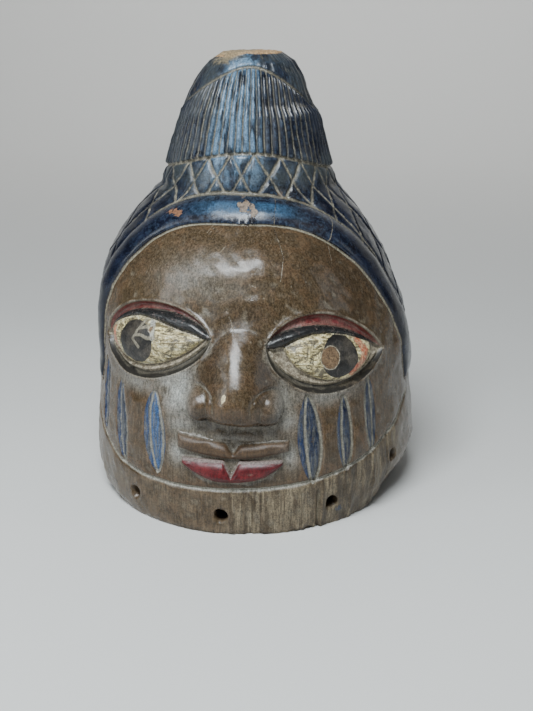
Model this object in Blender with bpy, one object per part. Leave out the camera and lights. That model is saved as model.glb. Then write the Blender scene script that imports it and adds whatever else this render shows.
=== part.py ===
"""Carved wooden mask with a face, a hair band, a lattice of hair and a fluted cone.

One piece of wood, hollow from below. Metres, +Z up, the face looks along -Y.
The origin is the middle of the footprint, at the level of the rim's underside.
The outer surface is a radius that depends on the angle round the head and on the height.
"""
import bpy
import numpy as np
from mathutils import Matrix, Vector

for old in list(bpy.data.objects):
    bpy.data.objects.remove(old, do_unlink=True)

# Heights of the whole carving
TOP_Z = 0.297
CAVITY_TOP_Z = 0.178
CAVITY_STRAIGHT_Z = 0.060
WALL = 0.017

# Half width of the head, then of its left and right sides, and of both sides of the cone
HEAD_Z = np.array([0.0, 0.006, 0.015, 0.03, 0.05, 0.075, 0.09, 0.107, 0.127, 0.147,
                   0.1626, 0.1777, 0.1912, 0.206, 0.217, 0.227])
HEAD_HALF = np.array([0.1065, 0.1077, 0.1095, 0.1120, 0.1138, 0.1136, 0.1122, 0.1100, 0.1050, 0.0980,
                      0.0905, 0.0810, 0.0710, 0.0580, 0.0450, 0.0200])
HEAD_LEFT = np.array([0.1050, 0.1100, 0.1127, 0.1139, 0.1131, 0.1106, 0.1082, 0.1095, 0.1100, 0.1082,
                      0.1025, 0.0934, 0.0830, 0.0699, 0.0450, 0.0200])
HEAD_RIGHT = np.array([0.1040, 0.1065, 0.1109, 0.1150, 0.1141, 0.1110, 0.1101, 0.1098, 0.1053, 0.0971,
                       0.0908, 0.0820, 0.0722, 0.0595, 0.0450, 0.0200])
CONE_Z = np.array([0.19, 0.213, 0.219, 0.2337, 0.2474, 0.2575, 0.2625, 0.271, 0.281, 0.291, 0.297])
CONE_LEFT = np.array([0.0670, 0.0645, 0.0620, 0.0583, 0.0538, 0.0503, 0.0486, 0.0450, 0.0389, 0.0308, 0.0212])
CONE_RIGHT = np.array([0.0580, 0.0556, 0.0540, 0.0497, 0.0462, 0.0440, 0.0400, 0.0365, 0.0332, 0.0270, 0.0183])
# Depth of the head in front of and behind its axis, as a share of the half width
FRONT_Z = np.array([0.0, 0.03, 0.07, 0.11, 0.15, 0.18, 0.21])
FRONT_SHARE = np.array([1.25, 1.18, 1.12, 1.11, 1.14, 1.13, 1.03])
BACK_SHARE = 1.14

# Hair band
FACE_LEFT_ANGLE = np.radians(64.8)
FACE_RIGHT_ANGLE = np.radians(74.0)
FACE_LOW_Z = 0.078
FACE_HIGH_Z = 0.192
BAND_WIDTH = 0.0225
BAND_RAISE = 0.0052
BAND_SIDE_SHARE = 0.5

# Rim
RIM_GROOVE_Z = 0.030
CRACK_ANGLE = np.radians(55.6)
WEAR_START = np.radians(42.0)
WEAR_END = np.radians(105.0)
WEAR_RISE = 0.0075
CRACK_STEP = 0.0016
RIM_SPAN = 0.030
HOLE_RADIUS = 0.0048
HOLES_DEG = ((-33.1, 0.0162), (-3.8, 0.0124), (28.9, 0.0163), (57.4, 0.0330), (97.0, 0.0190),
             (134.0, 0.0160), (171.0, 0.0150), (-152.0, 0.0150), (-115.0, 0.0160), (-78.0, 0.0160))

# Cone carving
FLUTES = 64
FLUTE_DEPTH = 0.0017
LATTICE_AROUND = 21
LATTICE_ROW = 0.0145
LATTICE_TURN = 10.6 / 360.0
LATTICE_DEPTH = 0.0016

GRID_COLUMNS = 480
OUTER_STEP = 0.0011
TRIANGLES = 8600


def step01(edge0, edge1, x):
    """Smooth change from 0 to 1 between the edges."""
    t = np.clip((x - edge0) / (edge1 - edge0), 0.0, 1.0)
    return t * t * (3.0 - 2.0 * t)


def bump(x, width):
    """Bell of height 1 about x = 0."""
    return np.exp(-(x / width) ** 2)


def smooth_max(a, b, k):
    h = np.clip(0.5 + 0.5 * (a - b) / k, 0.0, 1.0)
    return b * (1.0 - h) + a * h + k * h * (1.0 - h)


def base_radius(theta, z):
    """Radius of the uncarved form."""
    half = np.interp(z, HEAD_Z, HEAD_HALF)
    side = np.where(np.sin(theta) < 0.0, np.interp(z, HEAD_Z, HEAD_LEFT), np.interp(z, HEAD_Z, HEAD_RIGHT))
    left = np.interp(z, CONE_Z, CONE_LEFT)
    right = np.interp(z, CONE_Z, CONE_RIGHT)
    cone = 0.5 * (left + right) + 0.5 * (right - left) * np.sin(theta)
    front = np.interp(z, FRONT_Z, FRONT_SHARE)
    back = 1.0 + (BACK_SHARE - 1.0) * step01(0.225, 0.16, z)
    depth = half * np.where(np.cos(theta) > 0.0, front, back)
    n = 2.05
    head = ((np.abs(np.sin(theta)) / side) ** n + (np.abs(np.cos(theta)) / depth) ** n) ** (-1.0 / n)
    both = smooth_max(head, cone, 0.006)
    return np.where(z > 0.227, cone, np.where(z < 0.19, head, both))


def face_share(theta):
    """Share of the way round from the middle of the face to its edge."""
    limit = np.where(theta < 0.0, FACE_LEFT_ANGLE, FACE_RIGHT_ANGLE)
    return np.abs(theta) / limit, limit


def face_edge_z(theta):
    """Height of the lower edge of the hair band; it runs on round the back."""
    share, limit = face_share(theta)
    share = np.clip(share, 0.0, 1.0)
    power = np.where(theta < 0.0, 4.3, 3.0)
    arch = FACE_LOW_Z + (FACE_HIGH_Z - FACE_LOW_Z) * (1.0 - share ** power) ** 0.714
    behind = step01(0.0, 1.0, (np.abs(theta) - limit) / (np.pi - limit))
    return arch - 0.012 * behind


def groove_z(theta):
    """Height of the groove between the face and the rim."""
    share = np.clip(np.abs(theta) / FACE_RIGHT_ANGLE, 0.0, 1.0)
    left = 0.048 * share ** 3.2
    right = 0.036 * share ** 2.2
    return RIM_GROOVE_Z + np.where(theta < 0.0, left, right) + 0.003 * np.sin(theta)


def flute_low_z(theta):
    return 0.219 + 0.015 * (0.5 + 0.5 * np.cos(theta)) ** 4


def flute_high_z(theta):
    return 0.2475 + 0.0400 * (0.5 + 0.5 * np.cos(theta)) ** 2.1


def fall_length(z):
    """Length along the side of the head from the top down to a height."""
    heights = np.linspace(TOP_Z, 0.0, 600)
    half = base_radius(np.full_like(heights, 0.5 * np.pi), heights)
    run = np.concatenate([[0.0], np.cumsum(np.hypot(np.diff(heights), np.diff(half)))])
    return np.interp(z, heights[::-1], run[::-1])


def surface_points(theta, z):
    r = base_radius(theta, z)
    return np.stack([r * np.sin(theta), -r * np.cos(theta), z], -1)


def distance_to_curve(points, curve):
    """Shortest distance of every point to a line of close samples."""
    best = np.full(len(points), 1.0)
    for start in range(0, len(points), 4000):
        block = points[start:start + 4000]
        gap = block[:, None, :] - curve[None, :, :]
        best[start:start + 4000] = np.sqrt((gap * gap).sum(-1)).min(1)
    return best


def face_edge_curve():
    front = np.linspace(0.0, 1.0, 400) ** 0.5
    behind = np.linspace(0.0, 1.0, 160)
    halves = []
    for sign, limit in ((-1.0, FACE_LEFT_ANGLE), (1.0, FACE_RIGHT_ANGLE)):
        halves.append(sign * np.concatenate([front * limit, limit + behind * (np.pi - limit)]))
    theta = np.concatenate([halves[0][::-1], halves[1]])
    return surface_points(theta, face_edge_z(theta))


# Eyes: inner and outer corner, then the heights of their curves above the line between the corners.
# The thickness of the upper lid's roll changes along the eye.
EYES = (
    dict(inner=(-0.0160, 0.1257), outer=(-0.1120, 0.1135), skew=1.0,
         edge_top=(0.0245, 0.65), roll_top=(0.0187, 0.72), lid_low=(0.0205, 0.85), edge_low=(0.0240, 0.60),
         ball_low=(0.0165, 0.75), ball_skew=1.2, ball_start=0.03, ball_end=0.885,
         roll_share=(0.0, 0.06, 0.20, 0.334, 0.45, 0.55, 0.80, 1.0),
         roll_width=(0.0020, 0.0060, 0.0080, 0.0070, 0.0045, 0.0030, 0.0026, 0.0015)),
    dict(inner=(0.0185, 0.1225), outer=(0.1080, 0.1095), skew=0.80,
         edge_top=(0.0219, 0.92), roll_top=(0.0138, 1.00), lid_low=(0.0226, 0.95), edge_low=(0.0268, 0.80),
         ball_low=(0.0196, 0.65), ball_skew=1.0, ball_start=0.125, ball_end=0.855,
         roll_share=(0.0, 0.06, 0.13, 0.2145, 0.3285, 0.447, 0.63, 0.80, 1.0),
         roll_width=(0.0030, 0.0075, 0.0088, 0.0062, 0.0040, 0.0031, 0.0025, 0.0022, 0.0010)),
)
# Cheek marks: upper end, lower end, half width
MARKS = (
    ((-0.0518, 0.0900), (-0.0478, 0.0346), 0.0080),
    ((-0.0866, 0.0887), (-0.0767, 0.0349), 0.0076),
    ((-0.1160, 0.0970), (-0.1069, 0.0452), 0.0068),
    ((0.0430, 0.0905), (0.0452, 0.0315), 0.0078),
    ((0.0672, 0.0873), (0.0675, 0.0360), 0.0064),
    ((0.0898, 0.0951), (0.0902, 0.0430), 0.0058),
)
# Nose wings: middle, half width and half height
WINGS = ((-0.0208, 0.0862, 0.0096, 0.0118), (0.0203, 0.0845, 0.0102, 0.0122))


def eye_axes(eye, s, z):
    """Share of the way from the inner to the outer corner, and height above that line."""
    inner = np.array(eye["inner"])
    along = np.array(eye["outer"]) - inner
    length = np.hypot(along[0], along[1])
    along = along / length
    across = np.array([-along[1], along[0]]) * np.sign(along[0])
    ds = s - inner[0]
    dz = z - inner[1]
    share = (ds * along[0] + dz * along[1]) / length
    height = ds * across[0] + dz * across[1]
    return share, height, length


def arc(size, share, skew):
    """Height of one eye curve at a share of the length."""
    t = np.clip(share, 0.0, 1.0) ** skew
    return size[0] * (4.0 * t * (1.0 - t)) ** size[1]


def eye_fields(eye, s, z):
    """Signed gaps to the curves of one eye, positive on the inner side."""
    share, height, length = eye_axes(eye, s, z)
    beyond = np.maximum(-share, share - 1.0) * length
    skew = eye["skew"]
    width = np.interp(share, eye["roll_share"], eye["roll_width"])
    roll_top = arc(eye["roll_top"], share, skew)
    start = eye["ball_start"]
    ball_share = (share - start) / (eye["ball_end"] - start)
    ball_beyond = np.maximum(-ball_share, ball_share - 1.0) * length
    out = {"share": share, "height": height}
    out["edge"] = np.minimum(arc(eye["edge_top"], share, skew) - height,
                             height + arc(eye["edge_low"], share, skew))
    out["ball_top"] = roll_top - width - height
    out["ball_gap"] = height + arc(eye["ball_low"], ball_share, eye["ball_skew"])
    out["ball"] = np.minimum(np.minimum(out["ball_top"], out["ball_gap"]), 0.7 * -ball_beyond + 0.0002)
    out["lid"] = height + arc(eye["lid_low"], share, skew)
    out["red"] = height - roll_top
    out["roll_mid"] = height - (roll_top - 0.5 * width)
    out["roll_half"] = 0.5 * width + 0.0005
    out["edge"] = np.where(beyond > 0.0, np.minimum(out["edge"], -beyond), out["edge"])
    return out


def eye_relief(s, z):
    total = np.zeros_like(s)
    for eye in EYES:
        f = eye_fields(eye, s, z)
        inside = step01(-0.0005, 0.0030, f["edge"])
        total = total - 0.0036 * inside + 0.0007 * bump(f["edge"] + 0.0010, 0.0014)
        depth = np.clip(f["ball"] / 0.0135, 0.0, 1.0)
        total = total + 0.0078 * np.sqrt(1.0 - (1.0 - depth) ** 2)
        fade = step01(0.75, 0.35, f["share"]) * step01(-0.04, 0.05, f["share"])
        roll = np.clip(1.0 - (f["roll_mid"] / f["roll_half"]) ** 2, 0.0, 1.0) ** 0.5
        total = total + (0.0018 + 0.0030 * fade) * roll * inside
        low = f["lid"] - 0.0016
        span = step01(-0.01, 0.06, f["share"]) * step01(1.01, 0.90, f["share"])
        total = total + 0.0024 * bump(low, 0.0014) * span * inside
    return total


def mark_fields(mark, s, z):
    """Gap from the middle line of a cheek mark and the half width there."""
    top, low, half = mark
    t = (top[1] - z) / (top[1] - low[1])
    mid = top[0] + (low[0] - top[0]) * t
    inside = np.clip(t, 0.0, 1.0)
    return s - mid, half * (4.0 * inside * (1.0 - inside)) ** 0.75, t


def mark_relief(s, z):
    total = np.zeros_like(s)
    for mark in MARKS:
        gap, open_half, t = mark_fields(mark, s, z)
        ends = step01(-0.02, 0.03, t) * step01(1.02, 0.97, t)
        gap = np.abs(gap)
        cut = bump(gap - open_half * 0.66, 0.0012)
        lens = step01(open_half + 0.0006, open_half - 0.0012, gap)
        total = total - ends * (0.0017 * cut + 0.0006 * lens)
    return total


def nose_relief(x, z):
    """Wide wedge that grows downward, a round tip and two wings with a steep underside."""
    reach = np.interp(z, [0.080, 0.090, 0.100, 0.110, 0.122, 0.132], [0.0205, 0.0203, 0.0178, 0.0145, 0.0103, 0.0066])
    half = np.interp(z, [0.075, 0.085, 0.097, 0.1144, 0.131], [0.0235, 0.0275, 0.0290, 0.0268, 0.0182])
    middle = np.interp(z, [0.095, 0.114, 0.131], [0.0010, 0.0006, 0.0019])
    power = np.interp(z, [0.088, 0.130], [1.05, 1.45])
    u = np.clip(np.abs(x - middle) / half, 0.0, 1.0)
    foot = 0.0738 - 0.06 * x
    fall = np.clip(np.maximum(0.0900 - z, 0.0) / (0.0900 - foot), 0.0, 1.0)
    tip = np.sqrt(1.0 - fall ** 4.0)
    body = reach * (1.0 - u * u) ** power * step01(0.1340, 0.1302, z) * tip
    wing = np.zeros_like(x)
    for cx, cz, wide, tall in WINGS:
        d = (np.abs((x - cx) / wide) ** 2.3 + np.abs((z - cz) / tall) ** 2.3) ** (1.0 / 2.3)
        round_part = 0.0140 * np.sqrt(np.clip(1.0 - d * d, 0.0, 1.0)) * step01(foot - 0.0003, foot + 0.0016, z)
        wing = np.maximum(wing, round_part)
        crease = bump(d - 1.0, 0.10) * step01(cz - 0.006, cz + 0.001, z)
        body = body - 0.0018 * crease * step01(0.0, 0.004, body)
    return np.maximum(smooth_max(body, wing, 0.0015) - 0.0004, 0.0)


def lip_fields(x, z):
    """Signed gaps to the outlines of the two lips, positive inside."""
    left = np.maximum(-x, 0.0)
    right = np.maximum(x, 0.0)
    upper_top = 0.0602 + 0.150 * left + 0.062 * right - 0.0052 * bump(x + 0.0010, 0.0032)
    upper_low = 0.0507 + 4.0 * x * x
    ends = np.minimum(x + 0.0366, 0.0345 - x)
    upper = np.minimum(np.minimum(upper_top - z, z - upper_low), ends)
    lower_top = 0.0499 - 0.0097 * np.maximum(0.0, 1.0 - np.abs(x + 0.0018) / 0.0050)
    lower_low = 0.0355 + 0.0108 * (np.abs(x + 0.0018) / 0.032) ** 2.5
    low_ends = np.minimum(x + 0.0342, 0.0308 - x)
    lower = np.minimum(np.minimum(lower_top - z, z - lower_low), low_ends)
    return upper, lower, lower_top


def mouth_relief(x, z):
    upper, lower, lower_top = lip_fields(x, z)
    up = 0.0050 * np.sqrt(1.0 - (1.0 - np.clip(upper / 0.0036, 0.0, 1.0)) ** 2)
    low_round = np.sqrt(1.0 - (1.0 - np.clip(lower / 0.0075, 0.0, 1.0)) ** 2)
    low = 0.0060 * np.maximum(low_round, 0.0)
    ledge = step01(0.0, 0.0010, lower_top - z) * step01(0.0022, 0.0, lower_top - z) * step01(0.0, 0.002, lower)
    low = np.maximum(low, 0.0052 * ledge)
    around = np.hypot(x / 0.040, (z - 0.0515) / 0.0125)
    gap = -0.0012 * step01(1.0, 0.75, around)
    return np.maximum(up, low) + gap


def relief(theta, z, points):
    """Outward change of the radius that the carving makes."""
    s = theta * 0.115
    base = base_radius(theta, z)
    x = base * np.sin(theta)
    in_front = step01(1.11, 0.95, face_share(theta)[0])
    above_edge = z - face_edge_z(theta)
    edge = distance_to_curve(points, face_edge_curve())
    signed = np.where(above_edge > 0.0, edge, -edge)

    across = np.clip(signed / BAND_WIDTH, 0.0, 1.0)
    band = BAND_RAISE * np.clip(4.0 * across * (1.0 - across), 0.0, 1.0) ** 0.42
    band = band * (1.0 - BAND_SIDE_SHARE * step01(np.radians(30.0), FACE_RIGHT_ANGLE, np.abs(theta)))
    band_line = -0.0012 * bump(signed + 0.0012, 0.0013)
    hair_line = -0.0012 * bump(signed - BAND_WIDTH - 0.0008, 0.0014)

    groove = -0.0020 * bump(z - groove_z(theta), 0.0017)
    groove = groove * step01(np.radians(76.0), np.radians(70.0), np.abs(theta))

    low = flute_low_z(theta)
    high = flute_high_z(theta)
    above = step01(low - 0.0008, low + 0.0018, z)
    below = step01(high + 0.0008, high - 0.0018, z)
    uneven = theta + 0.012 * np.sin(3.0 * theta + 1.0) + 0.006 * np.sin(7.0 * theta)
    wave = np.abs(np.cos(FLUTES * 0.5 * uneven)) ** 0.8
    flute = above * below * (0.0012 - FLUTE_DEPTH * (1.0 - wave) * 1.4)
    collar_groove = -0.0020 * bump(z - high - 0.0005, 0.0012)
    foot_groove = -0.0018 * bump(z - low, 0.0014)

    in_hair = step01(BAND_WIDTH + 0.0005, BAND_WIDTH + 0.0030, signed) * step01(low + 0.0010, low - 0.0012, z)
    drop = fall_length(z) - fall_length(low)
    row = LATTICE_ROW * (1.0 + 0.40 * step01(0.015, 0.08, drop))
    turn = (theta / (2.0 * np.pi) + LATTICE_TURN) * LATTICE_AROUND
    lift = 0.5 * drop / row
    one = np.abs(((turn + lift) % 1.0) - 0.5)
    two = np.abs(((turn - lift) % 1.0) - 0.5)
    cell = base * 2.0 * np.pi / LATTICE_AROUND
    line = np.maximum(bump((0.5 - one) * cell, 0.0013), bump((0.5 - two) * cell, 0.0013))
    lattice = -LATTICE_DEPTH * line * in_hair

    face = eye_relief(s, z) + mark_relief(s, z) + nose_relief(x, z) + mouth_relief(x, z)
    face = face + 0.0030 * bump(np.hypot((np.abs(s) - 0.062) / 0.026, (z - 0.066) / 0.026), 1.0)
    face = face - 0.0022 * bump(np.hypot((np.abs(s) - 0.030) / 0.018, (z - 0.142) / 0.012), 1.0)
    face = face * in_front * step01(0.004, -0.004, signed)
    return band + band_line + hair_line + groove + flute + collar_groove + foot_groove + lattice + face


def profile_heights():
    """Heights of the rows, evenly spaced along the front of the form."""
    z = np.linspace(0.0, TOP_Z, 4000)
    r = base_radius(np.zeros_like(z), z)
    run = np.concatenate([[0.0], np.cumsum(np.hypot(np.diff(z), np.diff(r)))])
    rows = int(run[-1] / OUTER_STEP)
    return np.interp(np.linspace(0.0, run[-1], rows), run, z)


def notch(theta):
    """Height of the rim's lower edge, worn away on one side and stepped at the crack."""
    worn = WEAR_RISE * step01(WEAR_START, np.radians(62.0), theta) * step01(WEAR_END, np.radians(75.0), theta)
    beyond = (theta > CRACK_ANGLE) & (theta < np.radians(75.0))
    step = np.where(beyond, CRACK_STEP, 0.0)
    return worn + step


def build_grid():
    u = (np.arange(GRID_COLUMNS) + 0.5) / GRID_COLUMNS * 2.0 - 1.0
    theta = np.pi * (0.76 * u + 0.24 * u ** 3)
    heights = profile_heights()
    rows = []
    missing = notch(theta)
    all_theta = np.tile(theta, len(heights))
    all_z = np.repeat(heights, GRID_COLUMNS)
    points = surface_points(all_theta, all_z)
    radius = base_radius(all_theta, all_z) + relief(all_theta, all_z, points)
    lifted = all_z + np.tile(missing, len(heights)) * np.clip(1.0 - all_z / RIM_SPAN, 0.0, 1.0)
    outer = np.stack([radius * np.sin(all_theta), -radius * np.cos(all_theta), lifted], -1)
    outer = outer.reshape(len(heights), GRID_COLUMNS, 3)
    rows.extend(outer[i] for i in range(len(heights)))

    edge = outer[-1]
    for share in (0.12, 0.25, 0.45, 0.7):
        cap = edge * (1.0 - share)
        cap[:, 2] = TOP_Z + 0.0008 * np.sin(min(1.0, share * 4.0) * np.pi * 0.5)
        rows.append(cap)
    top_point = np.array([0.0, 0.0, TOP_Z + 0.0008])

    inner_rows = []
    for z in np.linspace(0.0, 1.0, 34):
        height = CAVITY_TOP_Z * np.sin(z * np.pi * 0.5) if z < 1.0 else CAVITY_TOP_Z
        base = base_radius(theta, np.full_like(theta, min(height, CAVITY_STRAIGHT_Z))) - WALL
        share = max(0.0, (height - CAVITY_STRAIGHT_Z) / (CAVITY_TOP_Z - CAVITY_STRAIGHT_Z))
        r = base * max(0.0, 1.0 - share ** 2.3) ** 0.5
        lift = height + missing * max(0.0, 1.0 - height / RIM_SPAN)
        inner_rows.append(np.stack([r * np.sin(theta), -r * np.cos(theta), lift], -1))
    inner_rows = inner_rows[:-1]
    low_point = np.array([0.0, 0.0, CAVITY_TOP_Z])
    return rows, top_point, inner_rows, low_point


def build_mesh(name):
    rows, top_point, inner_rows, low_point = build_grid()
    n = GRID_COLUMNS
    vertices = np.concatenate([np.concatenate(rows), [top_point], np.concatenate(inner_rows), [low_point]])
    centre = (vertices.min(0) + vertices.max(0)) * 0.5
    centre[2] = 0.0
    vertices = vertices - centre
    faces = []
    for i in range(len(rows) - 1):
        for j in range(n):
            k = (j + 1) % n
            faces.append((i * n + j, i * n + k, (i + 1) * n + k, (i + 1) * n + j))
    top = len(rows) * n
    last = (len(rows) - 1) * n
    for j in range(n):
        faces.append((last + j, last + (j + 1) % n, top))
    start = top + 1
    for i in range(len(inner_rows) - 1):
        for j in range(n):
            k = (j + 1) % n
            a = start + i * n
            faces.append((a + k, a + j, a + n + j, a + n + k))
    low = start + len(inner_rows) * n
    last = start + (len(inner_rows) - 1) * n
    for j in range(n):
        faces.append((last + (j + 1) % n, last + j, low))
    for j in range(n):
        k = (j + 1) % n
        faces.append((j, start + j, start + k, k))
    mesh = bpy.data.meshes.new(name)
    mesh.from_pydata([tuple(v) for v in vertices], [], faces)
    mesh.update()
    return mesh, centre


def hole_cutter(index, degrees, z, shift):
    """A round cutter that points out of the rim at one tie hole."""
    angle = np.radians(degrees)
    r = float(base_radius(np.array([angle]), np.array([z]))[0])
    sides = 14
    length = 0.040
    ring = []
    for end in (-0.5, 0.5):
        for k in range(sides):
            turn = 2.0 * np.pi * k / sides
            ring.append((HOLE_RADIUS * np.cos(turn), end * length, HOLE_RADIUS * np.sin(turn)))
    faces = [tuple((k, (k + 1) % sides, sides + (k + 1) % sides, sides + k)) for k in range(sides)]
    faces.append(tuple(reversed(range(sides))))
    faces.append(tuple(range(sides, 2 * sides)))
    mesh = bpy.data.meshes.new("hole_%02d" % index)
    mesh.from_pydata(ring, [], [tuple(reversed(f)) for f in faces])
    cutter = bpy.data.objects.new("hole_%02d" % index, mesh)
    centre = Vector(((r - WALL * 0.5) * np.sin(angle), -(r - WALL * 0.5) * np.cos(angle), z))
    cutter.matrix_world = Matrix.Translation(centre - shift) @ Matrix.Rotation(angle, 4, "Z")
    cutter.hide_render = True
    cutter.display_type = "WIRE"
    bpy.context.collection.objects.link(cutter)
    return cutter


def wood_material():
    material = bpy.data.materials.new("carved_wood")
    material.use_nodes = True
    shader = material.node_tree.nodes["Principled BSDF"]
    shader.inputs["Base Color"].default_value = (0.115, 0.062, 0.036, 1.0)
    shader.inputs["Roughness"].default_value = 0.55
    return material


mask_mesh, axis_shift = build_mesh("mask")
mask = bpy.data.objects.new("mask", mask_mesh)
bpy.context.collection.objects.link(mask)
mask.data.materials.append(wood_material())

thin = mask.modifiers.new("thin", "DECIMATE")
thin.decimate_type = "COLLAPSE"
thin.ratio = TRIANGLES / (2.0 * len(mask.data.polygons))

for number, (degrees, height) in enumerate(HOLES_DEG):
    cut = mask.modifiers.new("hole_%02d" % number, "BOOLEAN")
    cut.operation = "DIFFERENCE"
    cut.solver = "EXACT"
    cut.object = hole_cutter(number, degrees, height, Vector(axis_shift))
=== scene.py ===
"""Dressed scene of a carved and painted wooden mask, in metres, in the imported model's frame.

The outer surface is a radius over the angle round the head and the height, as in the solid,
with finer carving. Paint areas come from signed distances that are stored on the mesh.
"""
import math

import bpy
import numpy as np
from mathutils import Matrix, Vector


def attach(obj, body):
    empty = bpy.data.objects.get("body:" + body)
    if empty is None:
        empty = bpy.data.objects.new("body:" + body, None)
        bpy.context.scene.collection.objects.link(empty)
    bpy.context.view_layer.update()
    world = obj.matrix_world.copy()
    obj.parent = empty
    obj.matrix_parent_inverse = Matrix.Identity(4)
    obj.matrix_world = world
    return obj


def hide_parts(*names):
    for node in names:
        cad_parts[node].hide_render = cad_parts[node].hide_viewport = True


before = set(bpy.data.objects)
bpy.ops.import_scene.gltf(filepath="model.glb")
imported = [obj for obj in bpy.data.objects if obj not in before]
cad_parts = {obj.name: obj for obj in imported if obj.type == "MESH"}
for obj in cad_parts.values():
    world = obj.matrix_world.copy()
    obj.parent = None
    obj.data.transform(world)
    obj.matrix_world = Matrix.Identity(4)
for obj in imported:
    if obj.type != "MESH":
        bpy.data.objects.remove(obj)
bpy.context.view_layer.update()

# Where the axis of the head stands from the middle of the footprint
AXIS_X = -0.00054
AXIS_Y = 0.00684
# The hand-made unevenness goes a little outward, so the whole is a little narrower
TRIM = 0.9963
TRIM_UP = 0.9998

TOP_Z = 0.297
TOP_RISE = 0.0008
CAVITY_TOP_Z = 0.178
CAVITY_STRAIGHT_Z = 0.060
WALL = 0.017

# Half width of the head, then of its left and right sides, and of both sides of the cone
HEAD_Z = np.array([0.0, 0.006, 0.015, 0.03, 0.05, 0.075, 0.09, 0.107, 0.127, 0.147,
                   0.1626, 0.1777, 0.1912, 0.206, 0.217, 0.227])
HEAD_HALF = np.array([0.1065, 0.1077, 0.1095, 0.1120, 0.1138, 0.1136, 0.1122, 0.1100, 0.1050, 0.0980,
                      0.0905, 0.0810, 0.0710, 0.0580, 0.0450, 0.0200])
HEAD_LEFT = np.array([0.1050, 0.1100, 0.1127, 0.1139, 0.1131, 0.1106, 0.1082, 0.1095, 0.1100, 0.1082,
                      0.1025, 0.0934, 0.0830, 0.0699, 0.0450, 0.0200])
HEAD_RIGHT = np.array([0.1040, 0.1065, 0.1109, 0.1150, 0.1141, 0.1110, 0.1101, 0.1098, 0.1053, 0.0971,
                       0.0908, 0.0820, 0.0722, 0.0595, 0.0450, 0.0200])
CONE_Z = np.array([0.19, 0.213, 0.219, 0.2337, 0.2474, 0.2575, 0.2625, 0.271, 0.281, 0.291, 0.297])
CONE_LEFT = np.array([0.0670, 0.0645, 0.0620, 0.0583, 0.0538, 0.0503, 0.0486, 0.0450, 0.0389,
                      0.0308, 0.0212])
CONE_RIGHT = np.array([0.0580, 0.0556, 0.0540, 0.0497, 0.0462, 0.0440, 0.0400, 0.0365, 0.0332,
                       0.0270, 0.0183])
FRONT_Z = np.array([0.0, 0.03, 0.07, 0.11, 0.15, 0.18, 0.21])
FRONT_SHARE = np.array([1.25, 1.18, 1.12, 1.11, 1.14, 1.13, 1.03])
BACK_SHARE = 1.14

FACE_LEFT_ANGLE = np.radians(64.8)
FACE_RIGHT_ANGLE = np.radians(74.0)
FACE_LOW_Z = 0.078
FACE_HIGH_Z = 0.192
BAND_WIDTH = 0.0225
BAND_RAISE = 0.0052
BAND_SIDE_SHARE = 0.5

RIM_GROOVE_Z = 0.030
CRACK_ANGLE = np.radians(55.6)
WEAR_START = np.radians(42.0)
WEAR_END = np.radians(105.0)
WEAR_RISE = 0.0075
CRACK_STEP = 0.0016
RIM_SPAN = 0.030
HOLE_RADIUS = 0.0048
HOLES_DEG = ((-33.1, 0.0162), (-3.8, 0.0124), (28.9, 0.0163), (57.4, 0.0330), (97.0, 0.0190),
             (134.0, 0.0160), (171.0, 0.0150), (-152.0, 0.0150), (-115.0, 0.0160), (-78.0, 0.0160))

FLUTES = 64
FLUTE_DEPTH = 0.0017
LATTICE_AROUND = 21
LATTICE_ROW = 0.0145
LATTICE_TURN = 10.6 / 360.0
LATTICE_DEPTH = 0.0016

COLUMNS = 900
ROW_STEP = 0.00075
TRIANGLES = 188000


def step01(edge0, edge1, x):
    """Smooth change from 0 to 1 between the edges."""
    t = np.clip((x - edge0) / (edge1 - edge0), 0.0, 1.0)
    return t * t * (3.0 - 2.0 * t)


def bump(x, width):
    """Bell of height 1 about x = 0."""
    return np.exp(-(x / width) ** 2)


def smooth_max(a, b, k):
    h = np.clip(0.5 + 0.5 * (a - b) / k, 0.0, 1.0)
    return b * (1.0 - h) + a * h + k * h * (1.0 - h)


def waves(points, scale, seed, count=14):
    """Soft noise of about unit size from fixed waves in many directions."""
    rng = np.random.default_rng(seed)
    directions = rng.normal(size=(count, 3))
    directions /= np.linalg.norm(directions, axis=1)[:, None]
    rates = rng.uniform(0.6, 1.6, count) * 2.0 * np.pi / scale
    phases = rng.uniform(0.0, 2.0 * np.pi, count)
    total = np.zeros(len(points))
    for k in range(count):
        total += np.sin(points @ (directions[k] * rates[k]) + phases[k])
    return total / math.sqrt(count)


def value_line(x, cell, seed):
    """Smooth random heights along a line, one per cell."""
    rng = np.random.default_rng(seed)
    table = rng.uniform(-1.0, 1.0, 4096)
    place = x / cell
    low = np.floor(place).astype(int)
    part = place - low
    part = part * part * (3.0 - 2.0 * part)
    return table[low % 4096] * (1.0 - part) + table[(low + 1) % 4096] * part


def base_radius(theta, z):
    """Radius of the uncarved form."""
    half = np.interp(z, HEAD_Z, HEAD_HALF)
    side = np.where(np.sin(theta) < 0.0, np.interp(z, HEAD_Z, HEAD_LEFT), np.interp(z, HEAD_Z, HEAD_RIGHT))
    left = np.interp(z, CONE_Z, CONE_LEFT)
    right = np.interp(z, CONE_Z, CONE_RIGHT)
    cone = 0.5 * (left + right) + 0.5 * (right - left) * np.sin(theta)
    front = np.interp(z, FRONT_Z, FRONT_SHARE)
    back = 1.0 + (BACK_SHARE - 1.0) * step01(0.225, 0.16, z)
    depth = half * np.where(np.cos(theta) > 0.0, front, back)
    n = 2.05
    head = ((np.abs(np.sin(theta)) / side) ** n + (np.abs(np.cos(theta)) / depth) ** n) ** (-1.0 / n)
    both = smooth_max(head, cone, 0.006)
    return np.where(z > 0.227, cone, np.where(z < 0.19, head, both))


def face_share(theta):
    """Share of the way round from the middle of the face to its edge."""
    limit = np.where(theta < 0.0, FACE_LEFT_ANGLE, FACE_RIGHT_ANGLE)
    return np.abs(theta) / limit, limit


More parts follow.
